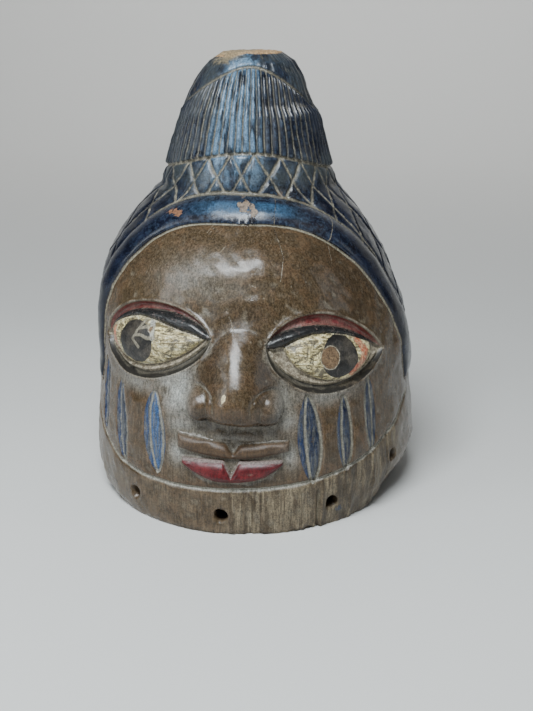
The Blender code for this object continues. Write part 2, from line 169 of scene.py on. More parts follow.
def face_edge_z(theta):
    """Height of the lower edge of the hair band; it runs on round the back."""
    share, limit = face_share(theta)
    share = np.clip(share, 0.0, 1.0)
    power = np.where(theta < 0.0, 4.3, 3.0)
    arch = FACE_LOW_Z + (FACE_HIGH_Z - FACE_LOW_Z) * (1.0 - share ** power) ** 0.714
    behind = step01(0.0, 1.0, (np.abs(theta) - limit) / (np.pi - limit))
    return arch - 0.012 * behind


def groove_z(theta):
    """Height of the groove between the face and the rim."""
    share = np.clip(np.abs(theta) / FACE_RIGHT_ANGLE, 0.0, 1.0)
    left = 0.048 * share ** 3.2
    right = 0.036 * share ** 2.2
    return RIM_GROOVE_Z + np.where(theta < 0.0, left, right) + 0.003 * np.sin(theta)


def flute_low_z(theta):
    return 0.219 + 0.015 * (0.5 + 0.5 * np.cos(theta)) ** 4


def flute_high_z(theta):
    return 0.2475 + 0.0400 * (0.5 + 0.5 * np.cos(theta)) ** 2.1


def fall_length(z):
    """Length along the side of the head from the top down to a height."""
    heights = np.linspace(TOP_Z, 0.0, 600)
    half = base_radius(np.full_like(heights, 0.5 * np.pi), heights)
    run = np.concatenate([[0.0], np.cumsum(np.hypot(np.diff(heights), np.diff(half)))])
    return np.interp(z, heights[::-1], run[::-1])


def surface_points(theta, z):
    r = base_radius(theta, z)
    return np.stack([r * np.sin(theta), -r * np.cos(theta), z], -1)


def distance_to_curve(points, curve):
    """Shortest distance of every point to a line of close samples."""
    best = np.full(len(points), 1.0)
    size = (curve * curve).sum(1)
    for start in range(0, len(points), 6000):
        block = points[start:start + 6000]
        square = (block * block).sum(1)[:, None] + size[None, :] - 2.0 * block @ curve.T
        best[start:start + 6000] = np.sqrt(np.maximum(square.min(1), 0.0))
    return best


def face_edge_curve():
    front = np.linspace(0.0, 1.0, 400) ** 0.5
    behind = np.linspace(0.0, 1.0, 160)
    halves = []
    for sign, limit in ((-1.0, FACE_LEFT_ANGLE), (1.0, FACE_RIGHT_ANGLE)):
        halves.append(sign * np.concatenate([front * limit, limit + behind * (np.pi - limit)]))
    theta = np.concatenate([halves[0][::-1], halves[1]])
    return surface_points(theta, face_edge_z(theta))


# Eyes: inner and outer corner, then the heights of their curves above the line between the corners.
# The thickness of the upper lid's roll changes along the eye.
EYES = (
    dict(inner=(-0.0160, 0.1257), outer=(-0.1120, 0.1135), skew=1.0,
         edge_top=(0.0245, 0.65), roll_top=(0.0187, 0.72), lid_low=(0.0205, 0.85), edge_low=(0.0240, 0.60),
         ball_low=(0.0165, 0.75), ball_skew=1.2, ball_start=0.03, ball_end=0.885,
         roll_share=(0.0, 0.06, 0.20, 0.334, 0.45, 0.55, 0.80, 1.0),
         roll_width=(0.0020, 0.0060, 0.0080, 0.0070, 0.0045, 0.0030, 0.0026, 0.0015),
         iris=(-0.0690, 0.1180), iris_half=(0.0152, 0.0142), flake=(-0.0563, 0.1277), flake_half=0.0022),
    dict(inner=(0.0185, 0.1225), outer=(0.1080, 0.1095), skew=0.80,
         edge_top=(0.0219, 0.92), roll_top=(0.0138, 1.00), lid_low=(0.0226, 0.95), edge_low=(0.0268, 0.80),
         ball_low=(0.0196, 0.65), ball_skew=1.0, ball_start=0.125, ball_end=0.855,
         roll_share=(0.0, 0.06, 0.13, 0.2145, 0.3285, 0.447, 0.63, 0.80, 1.0),
         roll_width=(0.0030, 0.0075, 0.0088, 0.0062, 0.0040, 0.0031, 0.0025, 0.0022, 0.0010),
         iris=(0.0655, 0.1120), iris_half=(0.0136, 0.0140), flake=(0.0581, 0.1126), flake_half=0.0064),
)
# Cheek marks: upper end, lower end, half width, then where the two grooves run and which sides
# have paint outside their groove
MARKS = (
    ((-0.0518, 0.0900), (-0.0478, 0.0346), 0.0080, (-0.42, 0.72), (1.0, 0.6)),
    ((-0.0866, 0.0887), (-0.0767, 0.0349), 0.0076, (-0.35, 0.72), (1.0, 0.0)),
    ((-0.1160, 0.0970), (-0.1069, 0.0452), 0.0068, (-0.45, 0.70), (1.0, 0.0)),
    ((0.0430, 0.0905), (0.0452, 0.0315), 0.0080, (-0.38, 0.78), (1.0, 0.0)),
    ((0.0672, 0.0873), (0.0675, 0.0360), 0.0066, (-0.38, 0.76), (1.0, 0.0)),
    ((0.0898, 0.0951), (0.0902, 0.0430), 0.0058, (-0.72, 0.45), (0.0, 1.0)),
)
# How far the nose stands out, and its half width, over the height
NOSE_REACH_Z = np.array([0.080, 0.090, 0.100, 0.110, 0.122, 0.132])
NOSE_REACH = np.array([0.0205, 0.0203, 0.0174, 0.0133, 0.0073, 0.0012])
NOSE_HALF_Z = np.array([0.075, 0.085, 0.097, 0.112, 0.122, 0.131])
NOSE_HALF = np.array([0.0245, 0.0288, 0.0306, 0.0290, 0.0215, 0.0140])
WING_REACH = 0.0140
# Nose wings: middle, half width and half height
WINGS = ((-0.0208, 0.0862, 0.0096, 0.0118), (0.0203, 0.0845, 0.0102, 0.0122))


def eye_axes(eye, s, z):
    """Share of the way from the inner to the outer corner, and height above that line."""
    inner = np.array(eye["inner"])
    along = np.array(eye["outer"]) - inner
    length = np.hypot(along[0], along[1])
    along = along / length
    across = np.array([-along[1], along[0]]) * np.sign(along[0])
    ds = s - inner[0]
    dz = z - inner[1]
    share = (ds * along[0] + dz * along[1]) / length
    height = ds * across[0] + dz * across[1]
    return share, height, length


def arc(size, share, skew):
    """Height of one eye curve at a share of the length."""
    t = np.clip(share, 0.0, 1.0) ** skew
    return size[0] * (4.0 * t * (1.0 - t)) ** size[1]


def eye_fields(eye, s, z):
    """Signed gaps to the curves of one eye, positive on the inner side."""
    share, height, length = eye_axes(eye, s, z)
    beyond = np.maximum(-share, share - 1.0) * length
    skew = eye["skew"]
    width = np.interp(share, eye["roll_share"], eye["roll_width"])
    roll_top = arc(eye["roll_top"], share, skew)
    start = eye["ball_start"]
    ball_share = (share - start) / (eye["ball_end"] - start)
    ball_beyond = np.maximum(-ball_share, ball_share - 1.0) * length
    out = {"share": share, "height": height}
    out["edge"] = np.minimum(arc(eye["edge_top"], share, skew) - height,
                             height + arc(eye["edge_low"], share, skew))
    out["ball_top"] = roll_top - width - height
    out["ball_gap"] = height + arc(eye["ball_low"], ball_share, eye["ball_skew"])
    out["ball"] = np.minimum(np.minimum(out["ball_top"], out["ball_gap"]), 0.7 * -ball_beyond + 0.0002)
    out["lid"] = height + arc(eye["lid_low"], share, skew)
    out["red"] = height - roll_top
    out["roll_mid"] = height - (roll_top - 0.5 * width)
    out["roll_half"] = 0.5 * width + 0.0005
    out["edge"] = np.where(beyond > 0.0, np.minimum(out["edge"], -beyond), out["edge"])
    return out


def eye_relief(s, z):
    total = np.zeros_like(s)
    for eye in EYES:
        f = eye_fields(eye, s, z)
        inside = step01(-0.0005, 0.0030, f["edge"])
        total = total - 0.0036 * inside + 0.0007 * bump(f["edge"] + 0.0010, 0.0014)
        depth = np.clip(f["ball"] / 0.0135, 0.0, 1.0)
        total = total + 0.0078 * np.sqrt(1.0 - (1.0 - depth) ** 2)
        fade = step01(0.75, 0.35, f["share"]) * step01(-0.04, 0.05, f["share"])
        roll = np.clip(1.0 - (f["roll_mid"] / f["roll_half"]) ** 2, 0.0, 1.0) ** 0.5
        total = total + (0.0018 + 0.0030 * fade) * roll * inside
        low = f["lid"] - 0.0016
        span = step01(-0.01, 0.06, f["share"]) * step01(1.01, 0.90, f["share"])
        total = total + 0.0024 * bump(low, 0.0014) * span * inside
    return total


def mark_fields(mark, s, z):
    """Gap from the middle line of a cheek mark and the half width there."""
    top, low, half = mark[:3]
    t = (top[1] - z) / (top[1] - low[1])
    mid = top[0] + (low[0] - top[0]) * t
    inside = np.clip(t, 0.0, 1.0)
    return s - mid, half * (4.0 * inside * (1.0 - inside)) ** 0.75, t


def mark_cut_gap(mark, gap, open_half):
    """Distance from the nearer of the two curved grooves of a mark."""
    left, right = mark[3]
    return np.minimum(np.abs(gap - left * open_half), np.abs(gap - right * open_half))


def mark_relief(s, z):
    total = np.zeros_like(s)
    for mark in MARKS:
        gap, open_half, t = mark_fields(mark, s, z)
        ends = step01(-0.02, 0.03, t) * step01(1.02, 0.97, t)
        cut = bump(mark_cut_gap(mark, gap, open_half), 0.0010)
        lens = step01(open_half + 0.0006, open_half - 0.0012, np.abs(gap))
        total = total - ends * (0.0016 * cut + 0.0006 * lens)
    return total


def nose_relief(x, z):
    """Wide wedge that grows downward, a round tip and two wings with a steep underside."""
    reach = np.interp(z, NOSE_REACH_Z, NOSE_REACH)
    half = np.interp(z, NOSE_HALF_Z, NOSE_HALF)
    middle = np.interp(z, [0.095, 0.114, 0.131], [0.0010, 0.0006, 0.0019])
    power = np.interp(z, [0.088, 0.130], [1.30, 2.50])
    u = np.clip(np.abs(x - middle) / half, 0.0, 1.0)
    foot = 0.0738 - 0.06 * x
    fall = np.clip(np.maximum(0.0900 - z, 0.0) / (0.0900 - foot), 0.0, 1.0)
    tip = np.sqrt(1.0 - fall ** 4.0)
    body = reach * (1.0 - u * u) ** power * step01(0.1400, 0.1300, z) * tip
    wing = np.zeros_like(x)
    for cx, cz, wide, tall in WINGS:
        d = (np.abs((x - cx) / wide) ** 2.3 + np.abs((z - cz) / tall) ** 2.3) ** (1.0 / 2.3)
        round_part = WING_REACH * np.sqrt(np.clip(1.0 - d * d, 0.0, 1.0))
        wing = np.maximum(wing, round_part * step01(foot - 0.0003, foot + 0.0016, z))
        crease = bump(d - 1.0, 0.10) * step01(cz - 0.006, cz + 0.001, z)
        body = body - 0.0014 * crease * step01(0.0, 0.004, body)
    return np.maximum(smooth_max(body, wing, 0.0015) - 0.0004, 0.0)


def lip_fields(x, z):
    """Signed gaps to the outlines of the two lips, positive inside."""
    left = np.maximum(-x, 0.0)
    right = np.maximum(x, 0.0)
    upper_top = 0.0602 + 0.150 * left + 0.062 * right - 0.0052 * bump(x + 0.0010, 0.0032)
    upper_low = 0.0507 + 4.0 * x * x
    ends = np.minimum(x + 0.0366, 0.0345 - x)
    upper = np.minimum(np.minimum(upper_top - z, z - upper_low), ends)
    lower_top = 0.0499 - 0.0097 * np.maximum(0.0, 1.0 - np.abs(x + 0.0018) / 0.0050)
    lower_low = 0.0355 + 0.0108 * (np.abs(x + 0.0018) / 0.032) ** 2.5
    low_ends = np.minimum(x + 0.0342, 0.0308 - x)
    lower = np.minimum(np.minimum(lower_top - z, z - lower_low), low_ends)
    return upper, lower, lower_top


def mouth_relief(x, z):
    upper, lower, lower_top = lip_fields(x, z)
    up = 0.0048 * np.sqrt(1.0 - (1.0 - np.clip(upper / 0.0047, 0.0, 1.0)) ** 2)
    low_round = np.sqrt(1.0 - (1.0 - np.clip(lower / 0.0075, 0.0, 1.0)) ** 2)
    low = 0.0060 * np.maximum(low_round, 0.0)
    under_top = lower_top - z
    ledge = step01(0.0, 0.0010, under_top) * step01(0.0022, 0.0, under_top) * step01(0.0, 0.002, lower)
    low = np.maximum(low, 0.0052 * ledge)
    around = np.hypot(x / 0.040, (z - 0.0515) / 0.0125)
    gap = -0.0012 * step01(1.0, 0.75, around)
    return np.maximum(up, low) + gap


def lattice_gap(theta, z):
    """Distance from the nearest cut line of the hair lattice."""
    drop = fall_length(z) - fall_length(flute_low_z(theta))
    row = LATTICE_ROW * (1.0 + 0.40 * step01(0.015, 0.08, drop))
    wander = 0.05 * np.sin(theta * 5.0 + 2.0) + 0.03 * np.sin(theta * 11.0 + drop * 60.0)
    turn = (theta / (2.0 * np.pi) + LATTICE_TURN) * LATTICE_AROUND + wander
    lift = 0.5 * drop / row
    one = np.abs(((turn + lift) % 1.0) - 0.5)
    two = np.abs(((turn - lift) % 1.0) - 0.5)
    cell = base_radius(theta, z) * 2.0 * np.pi / LATTICE_AROUND
    return np.minimum(0.5 - one, 0.5 - two) * cell * 0.75


def flute_wave(theta, z):
    """1 on the ridges and 0 in the grooves of the fluted cone."""
    uneven = theta + 0.012 * np.sin(3.0 * theta + 1.0) + 0.006 * np.sin(7.0 * theta)
    uneven = uneven + 0.004 * np.sin(z * 180.0 + theta * 9.0)
    return np.abs(np.cos(FLUTES * 0.5 * uneven)) ** 0.8


def band_distance(theta, z):
    """Distance up from the lower edge of the hair band, negative on the face."""
    edge = distance_to_curve(surface_points(theta, z), face_edge_curve())
    return np.where(z > face_edge_z(theta), edge, -edge)


# Cracks, as lines of points in arc length and height
CRACKS = (
    ((0.0355, 0.2060), (0.0312, 0.1975), (0.0298, 0.1890), (0.0322, 0.1820), (0.0334, 0.1740),
     (0.0298, 0.1600)),
    ((0.0950, 0.1930), (0.0850, 0.1862), (0.0772, 0.1790), (0.0745, 0.1690)),
)
SEAMS = (
    ((0.1082, 0.0491), (0.1078, 0.0351), (0.1110, 0.0213), (0.1122, 0.0040)),
    ((0.0036, 0.0), (0.0040, 0.0160)),
)

# Pale cracks in the left iris, its grey strip, the red in the eyes' corners, and scratches
PALE_LINES = (
    ((-0.0613, 0.1364), (-0.0640, 0.1310), (-0.0661, 0.1272), (-0.0709, 0.1197), (-0.0652, 0.1154)),
    ((-0.0690, 0.1225), (-0.0640, 0.1236), (-0.0586, 0.1220), (-0.0532, 0.1229)),
    ((-0.0661, 0.1272), (-0.0600, 0.1290), (-0.0563, 0.1277)),
)
GREY_STRIP = ((-0.0596, 0.1350), (-0.0560, 0.1291), (-0.0545, 0.1225))
BLUSH_LINES = (
    ((-0.0935, 0.1210), (-0.0915, 0.1140), (-0.0880, 0.1079)),
    ((0.0822, 0.1200), (0.0862, 0.1123), (0.0828, 0.1067), (0.0745, 0.1008)),
)
SCRATCHES = (
    ((-0.0067, 0.1424), (-0.0033, 0.1365), (-0.0018, 0.1318), (0.0015, 0.1258)),
    ((-0.0286, 0.1908), (-0.0318, 0.1862)), ((-0.0270, 0.1890), (-0.0300, 0.1850)),
    ((-0.0120, 0.1800), (-0.0150, 0.1765)), ((0.0390, 0.1630), (0.0372, 0.1560)),
    ((-0.0700, 0.1700), (-0.0730, 0.1600)), ((0.0050, 0.1600), (0.0120, 0.1570)),
)
# Dusty places, and on the left cheek beside the nose and under the left eye a painted sheen of reflected
# light: arc length, height, half sizes, strength
DUST_AND_SHEEN_SPOTS = (
    (-0.0340, 0.0915, 0.0085, 0.0160, 1.15), (-0.0400, 0.0975, 0.0110, 0.0060, 0.95),
    (0.0281, 0.0880, 0.0060, 0.0140, 0.60), (-0.0318, 0.0710, 0.0090, 0.0070, 0.65),
    (0.0309, 0.0750, 0.0060, 0.0090, 0.60), (-0.0025, 0.0640, 0.0200, 0.0030, 0.45),
    (-0.0335, 0.0525, 0.0060, 0.0080, 0.75), (0.0304, 0.0525, 0.0060, 0.0080, 0.75),
    (-0.0658, 0.0910, 0.0260, 0.0050, 0.45), (0.0546, 0.0880, 0.0260, 0.0055, 0.45),
    (-0.0190, 0.1218, 0.0030, 0.0050, 0.70), (0.0215, 0.1180, 0.0030, 0.0070, 0.60),
    (-0.0300, 0.1620, 0.0300, 0.0120, 0.30), (0.0000, 0.0450, 0.0350, 0.0030, 0.40),
)
# Painted shade: under the nose tip and wings, in the nostrils, between the nose and the upper lip, under the
# lower lip, over the nose bridge, on the sides of the nose and on the right of the brow and temple, away from
# the light
PAINTED_SHADE_SPOTS = (
    (0.0170, 0.1080, 0.0085, 0.0200, 0.75), (-0.0130, 0.1080, 0.0060, 0.0190, 0.55),
    (0.0200, 0.0790, 0.0110, 0.0070, 0.75), (-0.0200, 0.0795, 0.0110, 0.0065, 0.70),
    (0.0010, 0.0820, 0.0100, 0.0060, 0.65), (0.0000, 0.0700, 0.0220, 0.0045, 0.45),
    (0.0200, 0.0752, 0.0120, 0.0030, 0.95), (-0.0200, 0.0768, 0.0100, 0.0028, 0.95),
    (0.0700, 0.1600, 0.0300, 0.0280, 0.45),
    (0.0850, 0.1300, 0.0150, 0.0120, 0.40), (0.0050, 0.1400, 0.0220, 0.0060, 0.45),
    (0.0000, 0.0320, 0.0350, 0.0030, 0.30),
)
# Chips on the hair band: arc length, height, half sizes
BAND_CHIPS = (
    (0.0010, 0.2030, 0.0090, 0.0046), (-0.0707, 0.1966, 0.0110, 0.0030),
    (0.0100, 0.1988, 0.0050, 0.0040),
)


def span01(start, full_start, full_end, end, theta):
    """0 outside the start and end, 1 between the two full values; all in degrees."""
    rising = step01(np.radians(start), np.radians(full_start), theta)
    return rising * step01(np.radians(end), np.radians(full_end), theta)


def line_gap(line, s, z):
    """Distance from a line of points."""
    best = np.full(len(s), 0.05)
    for (s0, z0), (s1, z1) in zip(line[:-1], line[1:]):
        ds = s1 - s0
        dz = z1 - z0
        share = np.clip(((s - s0) * ds + (z - z0) * dz) / (ds * ds + dz * dz), 0.0, 1.0)
        best = np.minimum(best, np.hypot(s - s0 - ds * share, z - z0 - dz * share))
    return best


def spot_field(spots, s, z):
    """Strength of the strongest of some soft oval spots."""
    total = np.zeros(len(s))
    for spot_s, spot_z, half_s, half_z, strength in spots:
        reach = np.hypot((s - spot_s) / half_s, (z - spot_z) / half_z)
        total = np.maximum(total, strength * bump(reach, 1.0))
    return total


def relief(theta, z):
    """Outward change of the radius that the carving makes."""
    s = theta * 0.115
    base = base_radius(theta, z)
    x = base * np.sin(theta)
    points = surface_points(theta, z)
    in_front = step01(1.11, 0.95, face_share(theta)[0])
    signed = band_distance(theta, z)

    across = np.clip(signed / BAND_WIDTH, 0.0, 1.0)
    band = BAND_RAISE * np.clip(4.0 * across * (1.0 - across), 0.0, 1.0) ** 0.54
    band = band * (1.0 - BAND_SIDE_SHARE * step01(np.radians(30.0), FACE_RIGHT_ANGLE, np.abs(theta)))
    upright = 0.0054 * (across - 0.5) * np.sqrt(np.clip(4.0 * across * (1.0 - across), 0.0, 1.0))
    band = band + upright * step01(np.radians(48.0), np.radians(22.0), np.abs(theta))
    band_line = -0.0012 * bump(signed + 0.0012, 0.0011)
    hair_line = -0.0012 * bump(signed - BAND_WIDTH - 0.0008, 0.0012)

    groove = -0.0018 * bump(z - groove_z(theta), 0.0012)
    groove = groove * step01(np.radians(76.0), np.radians(70.0), np.abs(theta))

    low = flute_low_z(theta)
    high = flute_high_z(theta)
    above = step01(low - 0.0008, low + 0.0018, z)
    below = step01(high + 0.0008, high - 0.0018, z)
    flute = above * below * (0.0012 - FLUTE_DEPTH * (1.0 - flute_wave(theta, z)) * 1.4)
    collar_groove = -0.0018 * bump(z - high - 0.0005, 0.0010)
    foot_groove = -0.0016 * bump(z - low, 0.0012)
    worn_collar = step01(high, high + 0.003, z) * 0.0006 * value_line(theta * 0.04, 0.0016, 5)

    in_hair = step01(BAND_WIDTH + 0.0005, BAND_WIDTH + 0.0030, signed) * step01(low + 0.0010, low - 0.0012, z)
    lattice = -LATTICE_DEPTH * bump(lattice_gap(theta, z), 0.0011) * in_hair

    face = eye_relief(s, z) + mark_relief(s, z) + nose_relief(x, z) + mouth_relief(x, z)
    face = face + 0.0030 * bump(np.hypot((np.abs(s) - 0.062) / 0.026, (z - 0.066) / 0.026), 1.0)
    face = face - 0.0014 * bump(np.hypot((np.abs(s) - 0.030) / 0.018, (z - 0.142) / 0.014), 1.0)
    middle = bump(s - 0.002, 0.060)
    face = face + middle * (0.0026 * bump(z - 0.1690, 0.0110) - 0.0011 * bump(z - 0.1480, 0.0120))
    face = face + 0.0022 * bump(np.hypot((s + 0.042) / 0.017, (z - 0.078) / 0.012), 1.0)
    nostril = np.hypot(x + 0.0172, (z - 0.0772) * 1.2)
    face = face - 0.0030 * bump(nostril, 0.0014)
    face = face * in_front * step01(0.004, -0.004, signed)

    cracks = np.zeros_like(s)
    for seam in SEAMS:
        cracks = cracks - 0.0010 * bump(line_gap(seam, s, z), 0.0007)
    in_rim = step01(0.002, -0.001, z - groove_z(theta))
    adze_zone = in_rim * span01(-8.0, 2.0, 50.0, 62.0, theta)
    slant = s + 0.10 * (z - 0.015)
    adze = 0.00075 * value_line(slant, 0.0019, 11) + 0.00060 * value_line(slant, 0.0043, 12)
    adze = adze * (0.6 + 0.4 * value_line(z + s * 0.3, 0.006, 13)) * adze_zone
    split_zone = in_rim * step01(0.028, 0.022, z)
    split = -0.0022 * bump(theta - np.radians(24.3), np.radians(0.55)) * split_zone
    split = split + 0.0014 * bump(theta - np.radians(25.6), np.radians(0.45)) * split_zone
    step = -0.0010 * span01(1.7, 2.2, 4.0, 8.0, theta) * in_rim * step01(0.018, 0.014, z)
    hand = 0.00035 * waves(points, 0.030, 21) + 0.00016 * waves(points, 0.011, 22)
    quiet = 1.0 - 0.6 * (np.abs(signed - 0.5 * BAND_WIDTH) < 0.5 * BAND_WIDTH)
    total = band + band_line + hair_line + groove + flute + collar_groove + foot_groove + worn_collar
    return total + lattice + face + cracks + adze + split + step + hand * quiet


def notch(theta):
    """Height of the rim's lower edge, worn away on one side and stepped at the crack."""
    worn = WEAR_RISE * step01(WEAR_START, np.radians(62.0), theta) * step01(WEAR_END, np.radians(75.0), theta)
    beyond = (theta > CRACK_ANGLE) & (theta < np.radians(75.0))
    step = np.where(beyond, CRACK_STEP, 0.0)
    s = theta * 0.115
    fray = 0.0004 * (1.0 + value_line(s, 0.004, 31))
    chips = 0.0016 * bump(theta - np.radians(21.0), np.radians(1.6))
    chips = chips + 0.0012 * bump(theta - np.radians(17.8), np.radians(0.8))
    return fray + chips + worn + step


def profile_heights():
    """Heights of the rows, close together where the carved surface is steep."""
    z = np.linspace(0.0, TOP_Z, 3000)
    travel = np.zeros(len(z) - 1)
    angles = np.radians([-58.0, -40.0, -28.0, -10.0, 0.0, 9.0, 27.0, 40.0, 150.0])
    for angle in angles:
        theta = np.full_like(z, angle)
        r = base_radius(theta, z) + nose_relief(base_radius(theta, z) * np.sin(theta), z)
        r = r + mouth_relief(base_radius(theta, z) * np.sin(theta), z)
        travel = np.maximum(travel, np.hypot(np.diff(z), np.clip(np.diff(r), -0.0004, 0.0004)))
    run = np.concatenate([[0.0], np.cumsum(travel)])
    rows = int(run[-1] / ROW_STEP)
    return np.interp(np.linspace(0.0, run[-1], rows), run, z)


def build_mesh(name):
    n = COLUMNS
    u = (np.arange(n) + 0.5) / n * 2.0 - 1.0
    theta = np.pi * (0.70 * u + 0.30 * u ** 3)
    heights = profile_heights()
    count = len(heights)
    all_theta = np.tile(theta, count)
    all_z = np.repeat(heights, n)
    radius = base_radius(all_theta, all_z) + relief(all_theta, all_z)
    lift = np.tile(notch(theta), count) * np.clip(1.0 - all_z / RIM_SPAN, 0.0, 1.0)
    outer = np.stack([radius * np.sin(all_theta), -radius * np.cos(all_theta), all_z + lift], -1)
    outer = outer.reshape(count, n, 3)
    rows = [outer[i] for i in range(count)]

    edge = outer[-1]
    for share in np.linspace(0.05, 0.95, 16):
        cap = edge * (1.0 - share)
        rough = 0.0003 * waves(cap, 0.006, 41) - 0.0004
        dome = TOP_RISE * np.sin(min(1.0, share * 4.0) * np.pi * 0.5)
        cap[:, 2] = np.minimum(TOP_Z + dome + rough, TOP_Z + TOP_RISE)
        rows.append(cap)
    top_point = np.array([0.0, 0.0, TOP_Z + 0.0004])

    inner_rows = []
    for share_up in np.linspace(0.0, 1.0, 110)[:-1]:
        height = CAVITY_TOP_Z * math.sin(share_up * math.pi * 0.5)
        base = base_radius(theta, np.full_like(theta, min(height, CAVITY_STRAIGHT_Z))) - WALL
        share = max(0.0, (height - CAVITY_STRAIGHT_Z) / (CAVITY_TOP_Z - CAVITY_STRAIGHT_Z))
        r = base * max(0.0, 1.0 - share ** 2.3) ** 0.5
        flat = np.stack([r * np.sin(theta), -r * np.cos(theta), np.full_like(theta, height)], -1)
        cuts = 0.0006 * waves(flat, 0.022, 51) + 0.0003 * waves(flat, 0.009, 52)
        fade = np.clip(r / 0.02, 0.0, 1.0)
        r = r + cuts * fade
        rise = height + notch(theta) * max(0.0, 1.0 - height / RIM_SPAN)
        inner_rows.append(np.stack([r * np.sin(theta), -r * np.cos(theta), rise], -1))
    low_point = np.array([0.0, 0.0, CAVITY_TOP_Z])

    vertices = np.concatenate([np.concatenate(rows), [top_point], np.concatenate(inner_rows), [low_point]])
    j = np.arange(n)
    k = (j + 1) % n
    quads = []
    for i in range(len(rows) - 1):
        quads.append(np.stack([i * n + j, i * n + k, (i + 1) * n + k, (i + 1) * n + j], -1))
    start = len(rows) * n + 1
    for i in range(len(inner_rows) - 1):
        a = start + i * n
        quads.append(np.stack([a + k, a + j, a + n + j, a + n + k], -1))
    quads.append(np.stack([j, start + j, start + k, k], -1))
    top = len(rows) * n
    last = (len(rows) - 1) * n
    low = start + len(inner_rows) * n
    end = start + (len(inner_rows) - 1) * n
    fans = [np.stack([last + j, last + k, np.full(n, top)], -1),
            np.stack([end + k, end + j, np.full(n, low)], -1)]
    faces = np.concatenate(quads).tolist() + np.concatenate(fans).tolist()
    mesh = bpy.data.meshes.new(name)
    mesh.from_pydata(vertices.tolist(), [], faces)
    mesh.update()
    return mesh


def hole_cutter(index, degrees, z):
    """A slightly oval cutter that points out of the rim at one tie hole."""
    angle = math.radians(degrees)
    r = float(base_radius(np.array([angle]), np.array([z]))[0]) - WALL * 0.5
    sides = 28
    length = 0.040
    ring = []
    for end in (-0.5, 0.5):
        for k in range(sides):
            turn = 2.0 * math.pi * k / sides
            size = HOLE_RADIUS * (1.0 + 0.05 * math.sin(3.0 * turn + index))
            ring.append((size * math.cos(turn), end * length, size * math.sin(turn)))
    faces = [(k, sides + k, sides + (k + 1) % sides, (k + 1) % sides) for k in range(sides)]
    faces.append(tuple(range(sides)))
    faces.append(tuple(reversed(range(sides, 2 * sides))))
    mesh = bpy.data.meshes.new("hole_%02d" % index)
    mesh.from_pydata(ring, [], faces)
    cutter = bpy.data.objects.new("hole_%02d" % index, mesh)
    cutter.location = (r * math.sin(angle), -r * math.cos(angle), z)
    cutter.rotation_euler = (0.0, 0.0, angle)
    bpy.context.collection.objects.link(cutter)
    return cutter


def build_mask():
    rough = bpy.data.objects.new("mask_wood", build_mesh("mask_wood"))
    bpy.context.collection.objects.link(rough)
    cutters = [hole_cutter(i, a, z) for i, (a, z) in enumerate(HOLES_DEG)]
    thin = rough.modifiers.new("thin", "DECIMATE")
    thin.ratio = min(1.0, TRIANGLES / (2.0 * len(rough.data.polygons)))
    for cutter in cutters:
        cut = rough.modifiers.new(cutter.name, "BOOLEAN")
        cut.operation = "DIFFERENCE"
        cut.solver = "EXACT"
        cut.object = cutter
    bpy.context.view_layer.update()
    graph = bpy.context.evaluated_depsgraph_get()
    mesh = bpy.data.meshes.new_from_object(rough.evaluated_get(graph), depsgraph=graph)
    rough.modifiers.clear()
    old = rough.data
    rough.data = mesh
    bpy.data.meshes.remove(old)
    for cutter in cutters:
        bpy.data.objects.remove(cutter, do_unlink=True)
    return rough


def read_points(mesh):
    flat = np.empty(len(mesh.vertices) * 3)
    mesh.vertices.foreach_get("co", flat)
    return flat.reshape(-1, 3)


def store(mesh, name, values):
    layer = mesh.attributes.new(name, "FLOAT", "POINT")
    layer.data.foreach_set("value", np.ascontiguousarray(values, dtype=np.float32))


def concavity(mesh, points, rounds):
    """Positive in hollows and negative on edges, from the neighbours of each vertex."""
    pairs = np.empty(len(mesh.edges) * 2, dtype=np.int32)
    mesh.edges.foreach_get("vertices", pairs)
    pairs = pairs.reshape(-1, 2)
    count = np.bincount(pairs.ravel(), minlength=len(points)).astype(float)
    count = np.maximum(count, 1.0)
    normals = np.empty(len(points) * 3)
    mesh.vertex_normals.foreach_get("vector", normals)
    normals = normals.reshape(-1, 3)
    smooth = points.copy()
    for _ in range(rounds):
        total = np.zeros_like(smooth)
        for axis in range(3):
            total[:, axis] = (np.bincount(pairs[:, 0], smooth[pairs[:, 1], axis], len(points))
                              + np.bincount(pairs[:, 1], smooth[pairs[:, 0], axis], len(points)))
        smooth = 0.35 * smooth + 0.65 * total / count[:, None]
    return ((smooth - points) * normals).sum(1)


